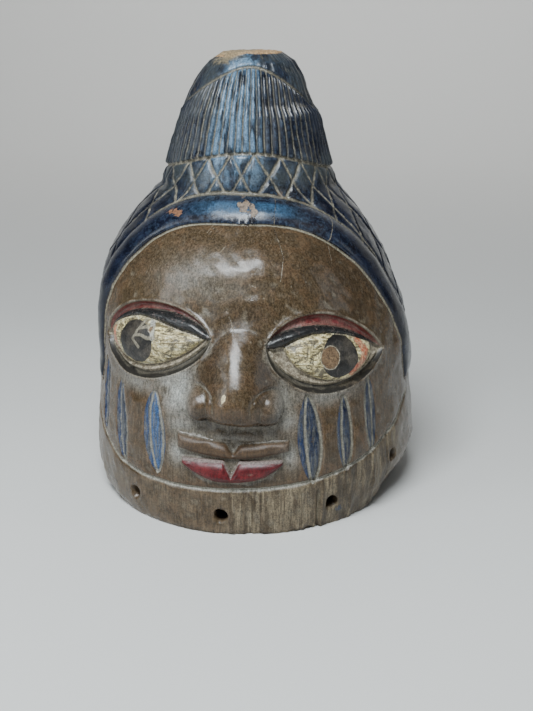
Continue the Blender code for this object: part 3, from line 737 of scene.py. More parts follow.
def paint_fields(mask):
    """Store the signed distances that the paint reads, in millimetres."""
    mesh = mask.data
    points = read_points(mesh)
    theta = np.arctan2(points[:, 0], -points[:, 1])
    z = points[:, 2]
    r = np.hypot(points[:, 0], points[:, 1])
    base = base_radius(theta, np.clip(z, 0.0, TOP_Z))
    x = base * np.sin(theta)
    s = theta * 0.115
    outside = r > base - 0.0085
    inner = np.where(outside | (z > 0.2), 0.0, 1.0)
    store(mesh, "p_inner", inner)
    mm = 1000.0

    signed = band_distance(theta, z)
    store(mesh, "p_hair", signed * mm)
    low = flute_low_z(theta)
    high = flute_high_z(theta)
    in_lattice = (signed > BAND_WIDTH) & (z < low)
    store(mesh, "p_lattice", np.where(in_lattice, lattice_gap(theta, z), 0.02) * mm)
    in_flutes = (z > low) & (z < high)
    store(mesh, "p_flute", np.where(in_flutes, 1.0 - flute_wave(theta, z), 0.0))
    lines = np.minimum(np.abs(z - high - 0.0005), np.abs(z - low))
    lines = np.minimum(lines, np.abs(signed - BAND_WIDTH - 0.0008))
    store(mesh, "p_lines", np.minimum(lines, 0.02) * mm)
    store(mesh, "p_edge_line", np.minimum(np.abs(signed + 0.0010), 0.02) * mm)
    store(mesh, "p_collar", (z - high) * mm)
    store(mesh, "p_rim", (groove_z(theta) - z) * mm)
    front = np.abs(theta) < np.radians(76.0)
    store(mesh, "p_groove", np.where(front, np.abs(z - groove_z(theta)), 0.02) * mm)
    store(mesh, "p_angle", np.degrees(theta))

    far = np.full(len(theta), -0.02)
    best = {"edge": far.copy(), "ball": far.copy(), "roll": far.copy(), "red": far.copy(),
            "iris": far.copy(), "flake": far.copy(), "cream": far.copy(), "under": far.copy(),
            "worn": np.zeros(len(theta))}
    for eye in EYES:
        f = eye_fields(eye, s, z)
        best["edge"] = np.maximum(best["edge"], f["edge"])
        best["ball"] = np.maximum(best["ball"], f["ball"])
        fade = 0.0012 * step01(0.70, 1.0, f["share"])
        roll = np.minimum(f["roll_half"] + 0.0003 - np.abs(f["roll_mid"]) - fade, f["edge"] + 0.0010)
        best["roll"] = np.maximum(best["roll"], roll)
        best["red"] = np.maximum(best["red"], np.minimum(f["edge"] - 0.0006, f["red"]))
        iris = eye["iris"]
        half = eye["iris_half"]
        reach = np.hypot((s - iris[0]) / half[0], (z - iris[1]) / half[1])
        best["iris"] = np.maximum(best["iris"], np.minimum((1.0 - reach) * half[1], f["ball"]))
        flake = eye["flake"]
        gap = eye["flake_half"] - np.hypot(s - flake[0], (z - flake[1]) * 0.9)
        best["flake"] = np.maximum(best["flake"], gap)
        lid_band = np.minimum(f["lid"] + 0.0004, -f["ball_gap"] + 0.0004)
        best["cream"] = np.maximum(best["cream"], np.minimum(lid_band, f["edge"]))
        under = np.minimum(-f["lid"], f["edge"] + 0.0006)
        best["under"] = np.maximum(best["under"], under)
        dull = step01(0.0010, 0.0060, f["height"] - 0.35 * (f["height"] + f["ball_gap"]) + 0.004)
        best["worn"] = np.maximum(best["worn"], np.where(f["ball"] > -0.002, dull, 0.0))
    for name, values in best.items():
        store(mesh, "p_eye_" + name, values * (1.0 if name == "worn" else mm))

    mark = far.copy()
    cut = np.full(len(theta), 0.02)
    bare = np.zeros(len(theta))
    strip = np.zeros(len(theta))
    for item in MARKS:
        gap, open_half, t = mark_fields(item, s, z)
        along = np.minimum(t, 1.0 - t) * (item[0][1] - item[1][1])
        here = np.minimum(open_half - np.abs(gap), along)
        nearest = here > mark
        mark = np.where(nearest, here, mark)
        groove_here = np.where(along > -0.001, mark_cut_gap(item, gap, open_half), 0.02)
        cut = np.minimum(cut, groove_here)
        outside_left = (gap < item[3][0] * open_half) & (item[4][0] < 0.5)
        outside_right = (gap > item[3][1] * open_half) & (item[4][1] < 0.5)
        bare = np.where(nearest, np.where(outside_left | outside_right, 1.0, 0.0), bare)
        strip = np.where(nearest, np.where(gap < item[3][0] * open_half, 1.0, 0.0), strip)
    store(mesh, "p_mark", mark * mm)
    store(mesh, "p_mark_cut", cut * mm)
    store(mesh, "p_mark_bare", bare)
    store(mesh, "p_mark_strip", strip)
    store(mesh, "p_mark_first", bump((s + 0.050) / 0.012, 1.0))

    upper, lower, lower_top = lip_fields(x, z)
    front_x = np.abs(theta) < np.radians(40.0)
    store(mesh, "p_lip_up", np.where(front_x, upper, -0.02) * mm)
    store(mesh, "p_lip_low", np.where(front_x, lower, -0.02) * mm)
    ledge = np.where(front_x & (lower > -0.001), lower_top - z, 0.02)
    store(mesh, "p_lip_ledge", ledge * mm)
    store(mesh, "p_nostril", np.hypot(np.hypot(x + 0.0172, z - 0.0772), np.where(front_x, 0.0, 0.05)) * mm)
    dab = np.minimum(np.hypot((x + 0.0040) * 1.6, z - 0.0950), np.hypot((x + 0.0052) * 2.2, z - 0.0925))
    store(mesh, "p_dab", np.where(front_x, 0.0022 - dab, -0.02) * mm)
    blue_dab = np.hypot(s - 0.0640, (z - 0.0100) * 1.3)
    store(mesh, "p_blue_dab", (0.0030 - blue_dab) * mm)
    in_front = np.abs(theta) < np.radians(74.0)
    store(mesh, "p_along", s * mm)
    blush = np.full(len(theta), 0.02)
    for line in BLUSH_LINES:
        blush = np.minimum(blush, line_gap(line, s, z))
    store(mesh, "p_blush", np.where(in_front, blush, 0.02) * mm)
    store(mesh, "p_dust_sheen", np.where(in_front & (signed < 0.0), spot_field(DUST_AND_SHEEN_SPOTS, s, z), 0.0))
    store(mesh, "p_painted_shade", np.where(in_front, spot_field(PAINTED_SHADE_SPOTS, s, z), 0.0))
    chip = np.full(len(theta), -1.0)
    for place in BAND_CHIPS:
        chip = np.maximum(chip, 1.0 - np.hypot((s - place[0]) / place[2], (z - place[1]) / place[3]))
    store(mesh, "p_chip", chip)
    zone = span01(-34.0, -20.0, 2.0, 16.0, theta)
    store(mesh, "p_pale_blue", zone * step01(0.205, 0.235, z))
    store(mesh, "p_fine", concavity(mesh, points, 3) * mm)
    store(mesh, "p_broad", concavity(mesh, points, 24) * mm)
    hole = np.full(len(theta), 0.02)
    for degrees, height in HOLES_DEG:
        hole = np.minimum(hole, np.hypot((theta - np.radians(degrees)) * base, z - height) - HOLE_RADIUS)
    wall_only = (r < base - 0.0012) & (hole < 0.0009) & (inner < 0.5)
    store(mesh, "p_bore", np.where(wall_only, 1.0, 0.0))


class Graph:
    """Short names for building a node tree."""

    def __init__(self, material):
        material.use_nodes = True
        self.tree = material.node_tree
        self.tree.nodes.clear()

    def node(self, kind, **settings):
        made = self.tree.nodes.new(kind)
        for key, value in settings.items():
            setattr(made, key, value)
        return made

    def feed(self, socket, value):
        if isinstance(value, (int, float)):
            socket.default_value = value
        elif isinstance(value, tuple):
            socket.default_value = value if len(value) != 3 or socket.type == "VECTOR" else value + (1.0,)
        else:
            self.tree.links.new(value, socket)

    def math(self, operation, a, b=0.0, c=None, clamp=False):
        made = self.node("ShaderNodeMath", operation=operation, use_clamp=clamp)
        self.feed(made.inputs[0], a)
        self.feed(made.inputs[1], b)
        if c is not None:
            self.feed(made.inputs[2], c)
        return made.outputs[0]

    def add(self, a, b):
        return self.math("ADD", a, b)

    def sub(self, a, b):
        return self.math("SUBTRACT", a, b)

    def mul(self, a, b):
        return self.math("MULTIPLY", a, b)

    def most(self, a, b):
        return self.math("MAXIMUM", a, b)

    def least(self, a, b):
        return self.math("MINIMUM", a, b)

    def ramp(self, value, low, high, out_low=0.0, out_high=1.0):
        made = self.node("ShaderNodeMapRange", interpolation_type="SMOOTHSTEP", clamp=True)
        self.feed(made.inputs["Value"], value)
        made.inputs["From Min"].default_value = min(low, high)
        made.inputs["From Max"].default_value = max(low, high)
        made.inputs["To Min"].default_value = out_low if low < high else out_high
        made.inputs["To Max"].default_value = out_high if low < high else out_low
        return made.outputs["Result"]

    def field(self, name):
        return self.node("ShaderNodeAttribute", attribute_name=name).outputs["Fac"]

    def mix(self, share, a, b, kind="MIX"):
        made = self.node("ShaderNodeMix", data_type="RGBA", blend_type=kind)
        self.feed(made.inputs[0], share)
        self.feed(made.inputs[6], a)
        self.feed(made.inputs[7], b)
        return made.outputs[2]

    def line_gap(self, along, up, line):
        """Distance in millimetres from a line of points that are given in metres."""
        best = None
        for (s0, z0), (s1, z1) in zip(line[:-1], line[1:]):
            ds = (s1 - s0) * 1000.0
            dz = (z1 - z0) * 1000.0
            size = ds * ds + dz * dz
            from_s = self.sub(along, s0 * 1000.0)
            from_z = self.sub(up, z0 * 1000.0)
            share = self.math("MULTIPLY_ADD", from_s, ds / size, self.mul(from_z, dz / size), True)
            rest_s = self.math("MULTIPLY_ADD", share, -ds, from_s)
            rest_z = self.math("MULTIPLY_ADD", share, -dz, from_z)
            square = self.math("MULTIPLY_ADD", rest_s, rest_s, self.mul(rest_z, rest_z))
            best = square if best is None else self.least(best, square)
        return self.math("SQRT", best)

    def nearest_line(self, along, up, lines):
        best = self.line_gap(along, up, lines[0])
        for line in lines[1:]:
            best = self.least(best, self.line_gap(along, up, line))
        return best

    def noise(self, vector, scale, detail=4.0, rough=0.55, distortion=0.0):
        made = self.node("ShaderNodeTexNoise")
        self.feed(made.inputs["Vector"], vector)
        made.inputs["Scale"].default_value = scale
        made.inputs["Detail"].default_value = detail
        made.inputs["Roughness"].default_value = rough
        made.inputs["Distortion"].default_value = distortion
        return made.outputs["Fac"]

    def cells(self, vector, scale, feature="F1"):
        made = self.node("ShaderNodeTexVoronoi", feature=feature)
        self.feed(made.inputs["Vector"], vector)
        made.inputs["Scale"].default_value = scale
        return made.outputs["Distance"]

    def stretched(self, vector, scale):
        made = self.node("ShaderNodeMapping", vector_type="POINT")
        self.feed(made.inputs["Vector"], vector)
        made.inputs["Scale"].default_value = scale
        return made.outputs["Vector"]


def wood_paint():
    material = bpy.data.materials.new("painted_wood")
    g = Graph(material)
    where = g.node("ShaderNodeTexCoord").outputs["Object"]
    coarse = g.noise(where, 26.0, 4.0, 0.6)
    medium = g.noise(where, 85.0, 5.0, 0.62)
    fine = g.noise(where, 380.0, 4.0, 0.65)
    tiny = g.noise(where, 1500.0, 3.0, 0.6)
    upright = g.stretched(where, (1.0, 1.0, 0.10))
    grain = g.noise(upright, 620.0, 4.0, 0.62, 0.4)
    streak = g.noise(g.stretched(where, (1.0, 1.0, 0.12)), 150.0, 4.0, 0.6, 0.6)
    wander = g.mul(g.sub(fine, 0.5), 1.5)
    wander_big = g.mul(g.sub(medium, 0.5), 2.6)

    hair = g.field("p_hair")
    rim = g.field("p_rim")
    hollow = g.field("p_fine")
    broad = g.field("p_broad")
    inner = g.field("p_inner")
    angle = g.field("p_angle")
    height = g.node("ShaderNodeSeparateXYZ")
    g.feed(height.inputs[0], where)
    up = g.mul(height.outputs["Z"], 1000.0)
    along = g.add(g.field("p_along"), g.mul(g.sub(fine, 0.5), 0.9))
    up_wander = g.add(up, g.mul(g.sub(medium, 0.5), 1.2))

    # Brown stained wood of the face, paler grey where dust lies, with a painted sheen of reflected light on
    # the left cheek beside the nose
    brown = g.mix(g.ramp(coarse, 0.34, 0.66), (0.054, 0.036, 0.019), (0.066, 0.046, 0.025))
    brown = g.mix(g.ramp(medium, 0.42, 0.70, 0.0, 0.25), brown, (0.036, 0.022, 0.013))
    brown = g.mix(g.ramp(g.mul(fine, grain), 0.24, 0.36, 0.0, 0.55), brown, (0.026, 0.016, 0.009))
    brown = g.mix(g.ramp(grain, 0.48, 0.62, 0.0, 0.55), brown, (0.112, 0.084, 0.054))
    brown = g.mix(g.ramp(streak, 0.56, 0.74, 0.0, 0.35), brown, (0.028, 0.016, 0.009))
    worn = g.mul(g.ramp(hollow, -0.02, -0.10), g.ramp(medium, 0.36, 0.60))
    brown = g.mix(g.mul(worn, 0.35), brown, (0.125, 0.072, 0.036))
    # Painted shade from the shade spots: darker brown under the nose and lips and on the side away from the
    # light
    shade = g.mul(g.field("p_painted_shade"), g.ramp(medium, 0.30, 0.60, 1.0, 0.75))
    brown = g.mix(shade, brown, (0.020, 0.012, 0.007))
    # The strongest spots, beside the nose on the left cheek and under the left eye, are a painted sheen of
    # reflected light; the rest is dust
    spots = g.mul(g.field("p_dust_sheen"), g.ramp(medium, 0.24, 0.58, 0.45, 1.0))
    low_dust = g.mul(g.ramp(broad, 0.12, 0.60), g.ramp(medium, 0.30, 0.62, 0.2, 0.8))
    dust_and_sheen = g.most(g.mul(spots, 0.85), g.mul(low_dust, 0.34))
    brown = g.mix(dust_and_sheen, brown, (0.320, 0.325, 0.300))
    specks = g.mul(g.ramp(g.cells(where, 120.0), 0.13, 0.02), g.ramp(coarse, 0.50, 0.60))
    brown = g.mix(g.mul(specks, 0.5), brown, (0.250, 0.215, 0.160))

    # Rim: drier, greyer wood with rough upright marks
    bare = g.mul(g.ramp(angle, -8.0, 4.0), g.ramp(angle, 66.0, 54.0))
    dry = g.mix(g.ramp(streak, 0.38, 0.66), (0.036, 0.024, 0.013), (0.235, 0.192, 0.124))
    dry = g.mix(g.ramp(grain, 0.45, 0.62, 0.0, 0.75), dry, (0.040, 0.026, 0.015))
    in_rim = g.ramp(g.add(rim, g.mul(wander, 0.3)), -0.3, 0.6)
    rim_front = g.mul(in_rim, g.ramp(g.math("ABSOLUTE", angle), 78.0, 72.0))
    face = g.mix(g.mul(rim_front, g.mul(bare, 0.75)), brown, dry)
    face = g.mix(g.mul(rim_front, g.ramp(medium, 0.42, 0.66, 0.0, 0.35)), face, (0.150, 0.122, 0.082))

    # Indigo hair paint, rubbed pale on its high places and brown where it is thin, with a painted highlight
    # of lighter blue on the front of the band
    deep = g.mix(g.ramp(medium, 0.38, 0.66), (0.003, 0.004, 0.010), (0.007, 0.010, 0.024))
    deep = g.mix(g.ramp(coarse, 0.50, 0.70, 0.0, 0.75), deep, (0.018, 0.015, 0.016))
    collar = g.ramp(g.field("p_collar"), 0.0, 1.5)
    slate = g.mul(g.ramp(angle, 10.0, -40.0, 0.25, 0.85), g.ramp(up, 196.0, 216.0))
    above_foot = g.mul(g.ramp(up, 206.0, 220.0), g.ramp(up, 238.0, 226.0))
    slate = g.most(slate, g.most(g.mul(collar, 0.75), above_foot))
    slate = g.mul(slate, g.ramp(g.noise(where, 60.0, 5.0, 0.65), 0.40, 0.56, 0.25, 0.85))
    deep = g.mix(slate, deep, (0.036, 0.043, 0.045))
    on_band = g.mul(g.ramp(hair, 21.5, 20.0), g.ramp(hair, 0.0, 1.5))
    film = g.mul(g.ramp(g.mul(medium, coarse), 0.22, 0.34), g.ramp(fine, 0.34, 0.56))
    ahead = g.ramp(g.math("ABSOLUTE", angle), 60.0, 30.0, 0.20, 1.0)
    film = g.mul(film, ahead)
    deep = g.mix(g.mul(film, g.sub(0.38, g.mul(on_band, 0.30))), deep, (0.048, 0.058, 0.068))
    rubbed = g.mul(g.ramp(hollow, 0.0, -0.11), g.ramp(fine, 0.42, 0.62))
    deep = g.mix(g.mul(rubbed, g.mul(ahead, 0.40)), deep, (0.045, 0.070, 0.110))
    turned = g.math("ABSOLUTE", angle)
    # Painted highlight: lighter blue on the middle of the band's front, where the light catches it
    painted_band_highlight = g.mul(g.mul(g.ramp(hair, 6.0, 10.0), g.ramp(hair, 20.0, 17.0)), g.ramp(turned, 34.0, 14.0))
    deep = g.mix(g.mul(painted_band_highlight, g.ramp(medium, 0.34, 0.54, 0.35, 0.85)), deep, (0.030, 0.078, 0.140))
    pale = g.mul(g.field("p_pale_blue"), g.ramp(streak, 0.38, 0.54))
    deep = g.mix(g.mul(pale, 0.85), deep, (0.120, 0.205, 0.300))
    dirt = g.mix(g.ramp(fine, 0.40, 0.60), (0.185, 0.170, 0.128), (0.085, 0.077, 0.058))
    in_groove = g.ramp(g.add(g.field("p_lattice"), g.mul(wander, 0.75)), 1.05, 0.35)
    deep = g.mix(g.mul(in_groove, g.ramp(medium, 0.32, 0.52, 0.40, 0.95)), deep, dirt)
    flank = g.mul(g.ramp(g.field("p_flute"), 0.12, 0.32), g.ramp(g.field("p_flute"), 0.62, 0.42))
    flank = g.mul(flank, g.mul(g.sub(1.0, g.mul(pale, 0.8)), g.ramp(streak, 0.30, 0.50, 0.35, 0.85)))
    deep = g.mix(flank, deep, (0.006, 0.008, 0.016))
    in_flute = g.ramp(g.add(g.field("p_flute"), g.mul(g.sub(fine, 0.5), 0.9)), 0.42, 0.74)
    deep = g.mix(g.mul(in_flute, g.ramp(streak, 0.34, 0.56, 0.25, 0.95)), deep, dirt)
    lines = g.ramp(g.add(g.field("p_lines"), g.mul(wander, 0.7)), 1.5, 0.5)
    deep = g.mix(g.mul(lines, g.ramp(fine, 0.30, 0.50, 0.4, 0.9)), deep, dirt)
    splinters = g.noise(g.stretched(where, (1.0, 1.0, 0.4)), 230.0, 5.0, 0.7)
    chip = g.add(g.field("p_chip"), g.mul(g.sub(splinters, 0.5), 3.8))
    chipped = g.ramp(chip, 0.22, 0.36)
    loose = g.mul(g.ramp(g.noise(where, 55.0, 6.0, 0.7), 0.655, 0.675), g.ramp(medium, 0.46, 0.53))
    bare_tan = g.mix(g.ramp(grain, 0.40, 0.66), (0.250, 0.180, 0.115), (0.130, 0.085, 0.050))
    deep = g.mix(g.mul(loose, 0.6), deep, (0.110, 0.072, 0.043))
    bare_tan = g.mix(g.ramp(angle, -18.0, -26.0), bare_tan, (0.230, 0.105, 0.050))
    deep = g.mix(g.mul(chipped, 0.85), deep, bare_tan)

    is_hair = g.ramp(g.add(hair, g.mul(wander, 0.4)), -0.15, 0.25)
    colour = g.mix(is_hair, face, deep)
    edge_line = g.ramp(g.add(g.field("p_edge_line"), g.mul(wander, 0.7)), 1.15, 0.35)
    colour = g.mix(g.mul(edge_line, g.ramp(fine, 0.25, 0.5, 0.5, 0.95)), colour, (0.225, 0.205, 0.145))
    groove = g.ramp(g.add(g.field("p_groove"), g.mul(wander, 0.7)), 1.7, 0.6)
    colour = g.mix(g.mul(groove, 0.88), colour, (0.300, 0.292, 0.250))

    # Bare wood where the cone is cut off, and on its broken edge at the left
    cut_wood = g.mix(g.ramp(grain, 0.40, 0.65), (0.420, 0.265, 0.125), (0.260, 0.155, 0.075))
    broken = g.mul(g.ramp(angle, -150.0, -110.0), g.ramp(angle, -5.0, -35.0))
    cut = g.ramp(g.add(g.add(up, g.mul(wander_big, 1.2)), g.mul(broken, 2.2)), 295.6, 296.4)
    colour = g.mix(g.mul(cut, 0.9), colour, cut_wood)
    streaked_up = g.add(up, g.mul(g.sub(streak, 0.5), 22.0))
    tan_edge = g.mul(g.ramp(angle, -5.0, -30.0), g.ramp(streaked_up, 290.5, 294.0))
    colour = g.mix(g.mul(tan_edge, g.mul(is_hair, 0.75)), colour, (0.200, 0.160, 0.095))

    # Cheek marks
    mark = g.add(g.field("p_mark"), g.mul(wander, 0.35))
    strip = g.field("p_mark_strip")
    blue = g.mix(g.ramp(medium, 0.36, 0.64), (0.010, 0.014, 0.032), (0.022, 0.030, 0.052))
    blue = g.mix(g.mul(strip, 0.7), blue, (0.016, 0.034, 0.095))
    blue = g.mix(g.mul(g.field("p_mark_first"), g.sub(0.85, g.mul(strip, 0.55))), blue, (0.040, 0.092, 0.210))
    blue = g.mix(g.ramp(grain, 0.44, 0.60, 0.0, 0.75), blue, (0.085, 0.085, 0.078))
    in_mark = g.mul(g.ramp(mark, -0.1, 0.25), g.ramp(fine, 0.26, 0.40, 0.3, 1.0))
    in_mark = g.mul(in_mark, g.sub(1.0, g.mul(g.field("p_mark_bare"), 0.9)))
    colour = g.mix(in_mark, colour, blue)
    mark_cut = g.ramp(g.add(g.field("p_mark_cut"), g.mul(wander, 0.6)), 1.25, 0.45)
    mark_cut = g.mul(mark_cut, g.ramp(g.field("p_mark"), -0.6, 0.1))
    colour = g.mix(g.mul(mark_cut, 0.85), colour, (0.215, 0.205, 0.165))

    # Lips
    lip_up = g.ramp(g.field("p_lip_up"), 0.0, 0.8)
    colour = g.mix(g.mul(lip_up, 0.7), colour, (0.062, 0.036, 0.019))
    lip_gold = g.mul(g.ramp(g.field("p_lip_up"), 1.2, 0.2), lip_up)
    colour = g.mix(g.mul(lip_gold, g.ramp(medium, 0.40, 0.60, 0.0, 0.5)), colour, (0.150, 0.086, 0.040))
    red = g.mix(g.ramp(medium, 0.36, 0.66), (0.060, 0.005, 0.007), (0.105, 0.010, 0.012))
    red = g.mix(g.ramp(grain, 0.60, 0.76, 0.0, 0.5), red, (0.200, 0.080, 0.065))
    lip_low = g.ramp(g.add(g.field("p_lip_low"), g.mul(wander, 0.25)), -0.1, 0.3)
    colour = g.mix(lip_low, colour, red)
    ledge = g.mul(lip_low, g.ramp(g.add(g.field("p_lip_ledge"), g.mul(wander, 1.0)), 2.1, 0.9))
    colour = g.mix(g.mul(ledge, 0.80), colour, (0.215, 0.190, 0.172))

    # Eyes: socket, lids, ball, iris and its flaked paint
    edge = g.field("p_eye_edge")
    socket = g.ramp(edge, -0.4, 0.6)
    colour = g.mix(g.mul(socket, 0.55), colour, (0.150, 0.128, 0.090))
    edge_ring = g.mul(g.ramp(g.math("ABSOLUTE", g.add(edge, 0.5)), 1.1, 0.3), g.ramp(medium, 0.40, 0.55))
    colour = g.mix(g.mul(edge_ring, 0.65), colour, (0.235, 0.212, 0.165))
    under = g.ramp(g.add(g.field("p_eye_under"), g.mul(wander, 0.5)), 0.0, 0.4)
    under = g.mul(under, g.ramp(g.add(g.field("p_eye_under"), g.mul(wander, 0.8)), 3.0, 2.2))
    colour = g.mix(g.mul(under, g.ramp(medium, 0.34, 0.46, 0.40, 0.95)), colour, (0.012, 0.011, 0.010))
    cream_paint = g.mix(g.ramp(fine, 0.40, 0.60), (0.330, 0.290, 0.215), (0.150, 0.122, 0.086))
    cream = g.ramp(g.add(g.field("p_eye_cream"), g.mul(wander, 0.45)), -0.1, 0.3)
    colour = g.mix(cream, colour, cream_paint)
    red_lid = g.mix(g.ramp(medium, 0.40, 0.66), (0.115, 0.009, 0.012), (0.150, 0.022, 0.022))
    lid = g.ramp(g.add(g.field("p_eye_red"), g.mul(wander, 0.3)), -0.1, 0.3)
    colour = g.mix(g.mul(lid, 0.92), colour, red_lid)
    across_eye = g.stretched(where, (0.35, 1.0, 2.4))
    strokes = g.noise(across_eye, 210.0, 5.0, 0.68, 1.0)
    sclera = g.mix(g.ramp(medium, 0.38, 0.60), (0.660, 0.570, 0.290), (0.360, 0.295, 0.145))
    worn_zone = g.field("p_eye_worn")
    dull_eye = g.mul(worn_zone, g.ramp(medium, 0.30, 0.50, 0.6, 1.0))
    sclera = g.mix(dull_eye, sclera, (0.230, 0.200, 0.130))
    sclera = g.mix(g.ramp(strokes, 0.51, 0.56, 0.0, 0.92), sclera, (0.085, 0.064, 0.034))
    sclera = g.mix(g.ramp(strokes, 0.46, 0.38, 0.0, 0.85), sclera, (0.700, 0.670, 0.480))
    flaked = g.ramp(g.noise(where, 170.0, 5.0, 0.7, 0.8), 0.53, 0.56)
    sclera = g.mix(g.mul(flaked, 0.90), sclera, (0.110, 0.094, 0.064))
    blush = g.ramp(g.add(g.field("p_blush"), g.mul(wander_big, 0.7)), 3.4, 2.0)
    blush_paint = g.mix(g.ramp(fine, 0.46, 0.56), (0.420, 0.090, 0.045), (0.480, 0.250, 0.150))
    sclera = g.mix(g.mul(blush, 0.85), sclera, blush_paint)
    ball = g.ramp(g.add(g.field("p_eye_ball"), g.mul(wander, 0.35)), 0.2, 0.6)
    colour = g.mix(ball, colour, sclera)
    black = g.mix(g.ramp(medium, 0.42, 0.64), (0.012, 0.011, 0.010), (0.055, 0.047, 0.037))
    iris = g.ramp(g.add(g.field("p_eye_iris"), g.mul(wander, 0.7)), 0.1, 0.5)
    colour = g.mix(g.mul(iris, ball), colour, black)
    strip_line = g.mul(g.ramp(g.line_gap(along, up_wander, GREY_STRIP), 1.9, 1.2), ball)
    colour = g.mix(g.mul(strip_line, 0.85), colour, (0.290, 0.290, 0.262))
    pale_gap = g.add(g.nearest_line(along, up_wander, PALE_LINES), g.mul(wander_big, 0.8))
    pale_line = g.mul(g.ramp(pale_gap, 1.35, 0.7), ball)
    colour = g.mix(g.mul(pale_line, 0.85), colour, (0.235, 0.212, 0.158))
    flake = g.add(g.field("p_eye_flake"), g.mul(wander_big, 0.9))
    bare_wood = g.mix(g.ramp(fine, 0.40, 0.60), (0.180, 0.118, 0.066), (0.115, 0.070, 0.038))
    colour = g.mix(g.ramp(flake, -0.1, 0.2), colour, bare_wood)
    flake_rim = g.mul(g.ramp(flake, -0.7, -0.2), g.ramp(flake, 0.25, 0.0))
    colour = g.mix(g.mul(flake_rim, g.ramp(fine, 0.40, 0.52, 0.2, 0.9)), colour, (0.380, 0.340, 0.250))
    ball_rim = g.mul(g.ramp(g.field("p_eye_ball"), 1.5, 0.5), g.ramp(g.field("p_eye_ball"), -0.1, 0.3))
    colour = g.mix(g.mul(ball_rim, g.ramp(fine, 0.42, 0.52, 0.0, 0.8)), colour, (0.400, 0.350, 0.240))
    roll = g.ramp(g.add(g.field("p_eye_roll"), g.mul(wander, 0.2)), 0.0, 0.35)
    roll_paint = g.mix(g.ramp(fine, 0.56, 0.66), (0.014, 0.014, 0.014), (0.095, 0.070, 0.062))
    colour = g.mix(roll, colour, roll_paint)

    # Small dabs, scratches, cracks, holes, dirt in the fine hollows
    dab = g.ramp(g.add(g.field("p_dab"), g.mul(wander, 0.5)), -0.1, 0.2)
    colour = g.mix(dab, colour, (0.480, 0.400, 0.240))
    blue_dab = g.ramp(g.add(g.field("p_blue_dab"), g.mul(wander_big, 0.5)), 0.0, 0.4, 0.0, 0.8)
    colour = g.mix(blue_dab, colour, (0.020, 0.038, 0.080))
    scratch = g.ramp(g.nearest_line(along, up_wander, SCRATCHES), 0.45, 0.20)
    scratch = g.mul(scratch, g.ramp(fine, 0.46, 0.56))
    colour = g.mix(g.mul(scratch, 0.5), colour, (0.230, 0.195, 0.140))
    crack = g.mul(g.ramp(g.nearest_line(along, up_wander, CRACKS), 0.42, 0.20), g.ramp(angle, 70.0, 60.0))
    crack_line = g.mix(g.ramp(medium, 0.45, 0.55), (0.028, 0.021, 0.014), (0.180, 0.155, 0.110))
    colour = g.mix(g.mul(crack, 0.75), colour, crack_line)
    fine_dirt = g.mul(g.ramp(hollow, 0.05, 0.16), g.ramp(medium, 0.30, 0.55))
    colour = g.mix(g.mul(fine_dirt, 0.30), colour, (0.190, 0.168, 0.125))
    # Painted shade: near black inside the nostril
    nostril = g.ramp(g.field("p_nostril"), 1.9, 1.0)
    colour = g.mix(nostril, colour, (0.010, 0.008, 0.007))
    speck = g.add(g.mul(tiny, 0.35), g.mul(g.noise(upright, 900.0, 3.0, 0.6, 0.3), 0.30))
    speck = g.add(speck, g.mul(g.noise(where, 820.0, 3.0, 0.65), 0.35))
    colour = g.mix(1.0, colour, g.ramp(speck, 0.40, 0.60, 0.52, 1.48), "MULTIPLY")
    raw = g.mix(g.ramp(streak, 0.38, 0.66), (0.110, 0.072, 0.042), (0.175, 0.122, 0.074))
    raw = g.mix(g.ramp(medium, 0.45, 0.70, 0.0, 0.6), raw, (0.062, 0.040, 0.025))
    colour = g.mix(g.most(inner, g.field("p_bore")), colour, raw)

    # Gloss: waxed face and hair, dull where the dust and the painted sheen lie, dry rim and bare wood
    wax = g.ramp(medium, 0.35, 0.65, 0.20, 0.29)
    rough = g.add(g.add(wax, g.mul(dust_and_sheen, 0.20)), g.mul(socket, 0.12))
    rough = g.add(rough, g.mul(rim_front, g.add(0.06, g.mul(bare, 0.16))))
    hair_rough = g.add(g.ramp(medium, 0.35, 0.65, 0.19, 0.30), g.mul(slate, 0.20))
    rough = g.add(g.mul(rough, g.sub(1.0, is_hair)), g.mul(hair_rough, is_hair))
    dull = g.add(g.add(in_groove, in_flute), g.add(chipped, cut))
    rough = g.add(rough, g.mul(dull, g.mul(is_hair, 0.28)))
    rough = g.add(rough, g.mul(g.most(groove, g.most(edge_line, mark_cut)), 0.25))
    rough = g.add(rough, g.mul(g.most(lip_up, g.mul(lip_low, 0.5)), 0.22))
    rough = g.most(rough, g.mul(inner, 0.78))
    rough = g.math("SUBTRACT", rough, g.mul(roll, 0.08), clamp=True)

    # Fine surface
    height_field = g.mul(grain, 0.00006)
    height_field = g.add(height_field, g.mul(fine, 0.00005))
    height_field = g.add(height_field, g.mul(speck, 0.00006))
    height_field = g.add(height_field, g.mul(medium, 0.00010))
    lost = g.add(g.mul(g.ramp(flake, -0.2, 0.2), 0.00035), g.mul(chipped, 0.00045))
    lost = g.add(lost, g.mul(g.mul(flaked, ball), 0.00018))
    height_field = g.sub(height_field, lost)
    height_field = g.sub(height_field, g.mul(g.most(scratch, crack), 0.00012))
    surface = g.node("ShaderNodeBump")
    surface.inputs["Strength"].default_value = 0.75
    surface.inputs["Distance"].default_value = 1.0
    g.feed(surface.inputs["Height"], height_field)

    shader = g.node("ShaderNodeBsdfPrincipled")
    g.feed(shader.inputs["Base Color"], colour)
    g.feed(shader.inputs["Roughness"], rough)
    shader.inputs["Specular IOR Level"].default_value = 0.40
    g.feed(shader.inputs["Normal"], surface.outputs["Normal"])
    out = g.node("ShaderNodeOutputMaterial")
    g.feed(out.inputs["Surface"], shader.outputs[0])
    return material


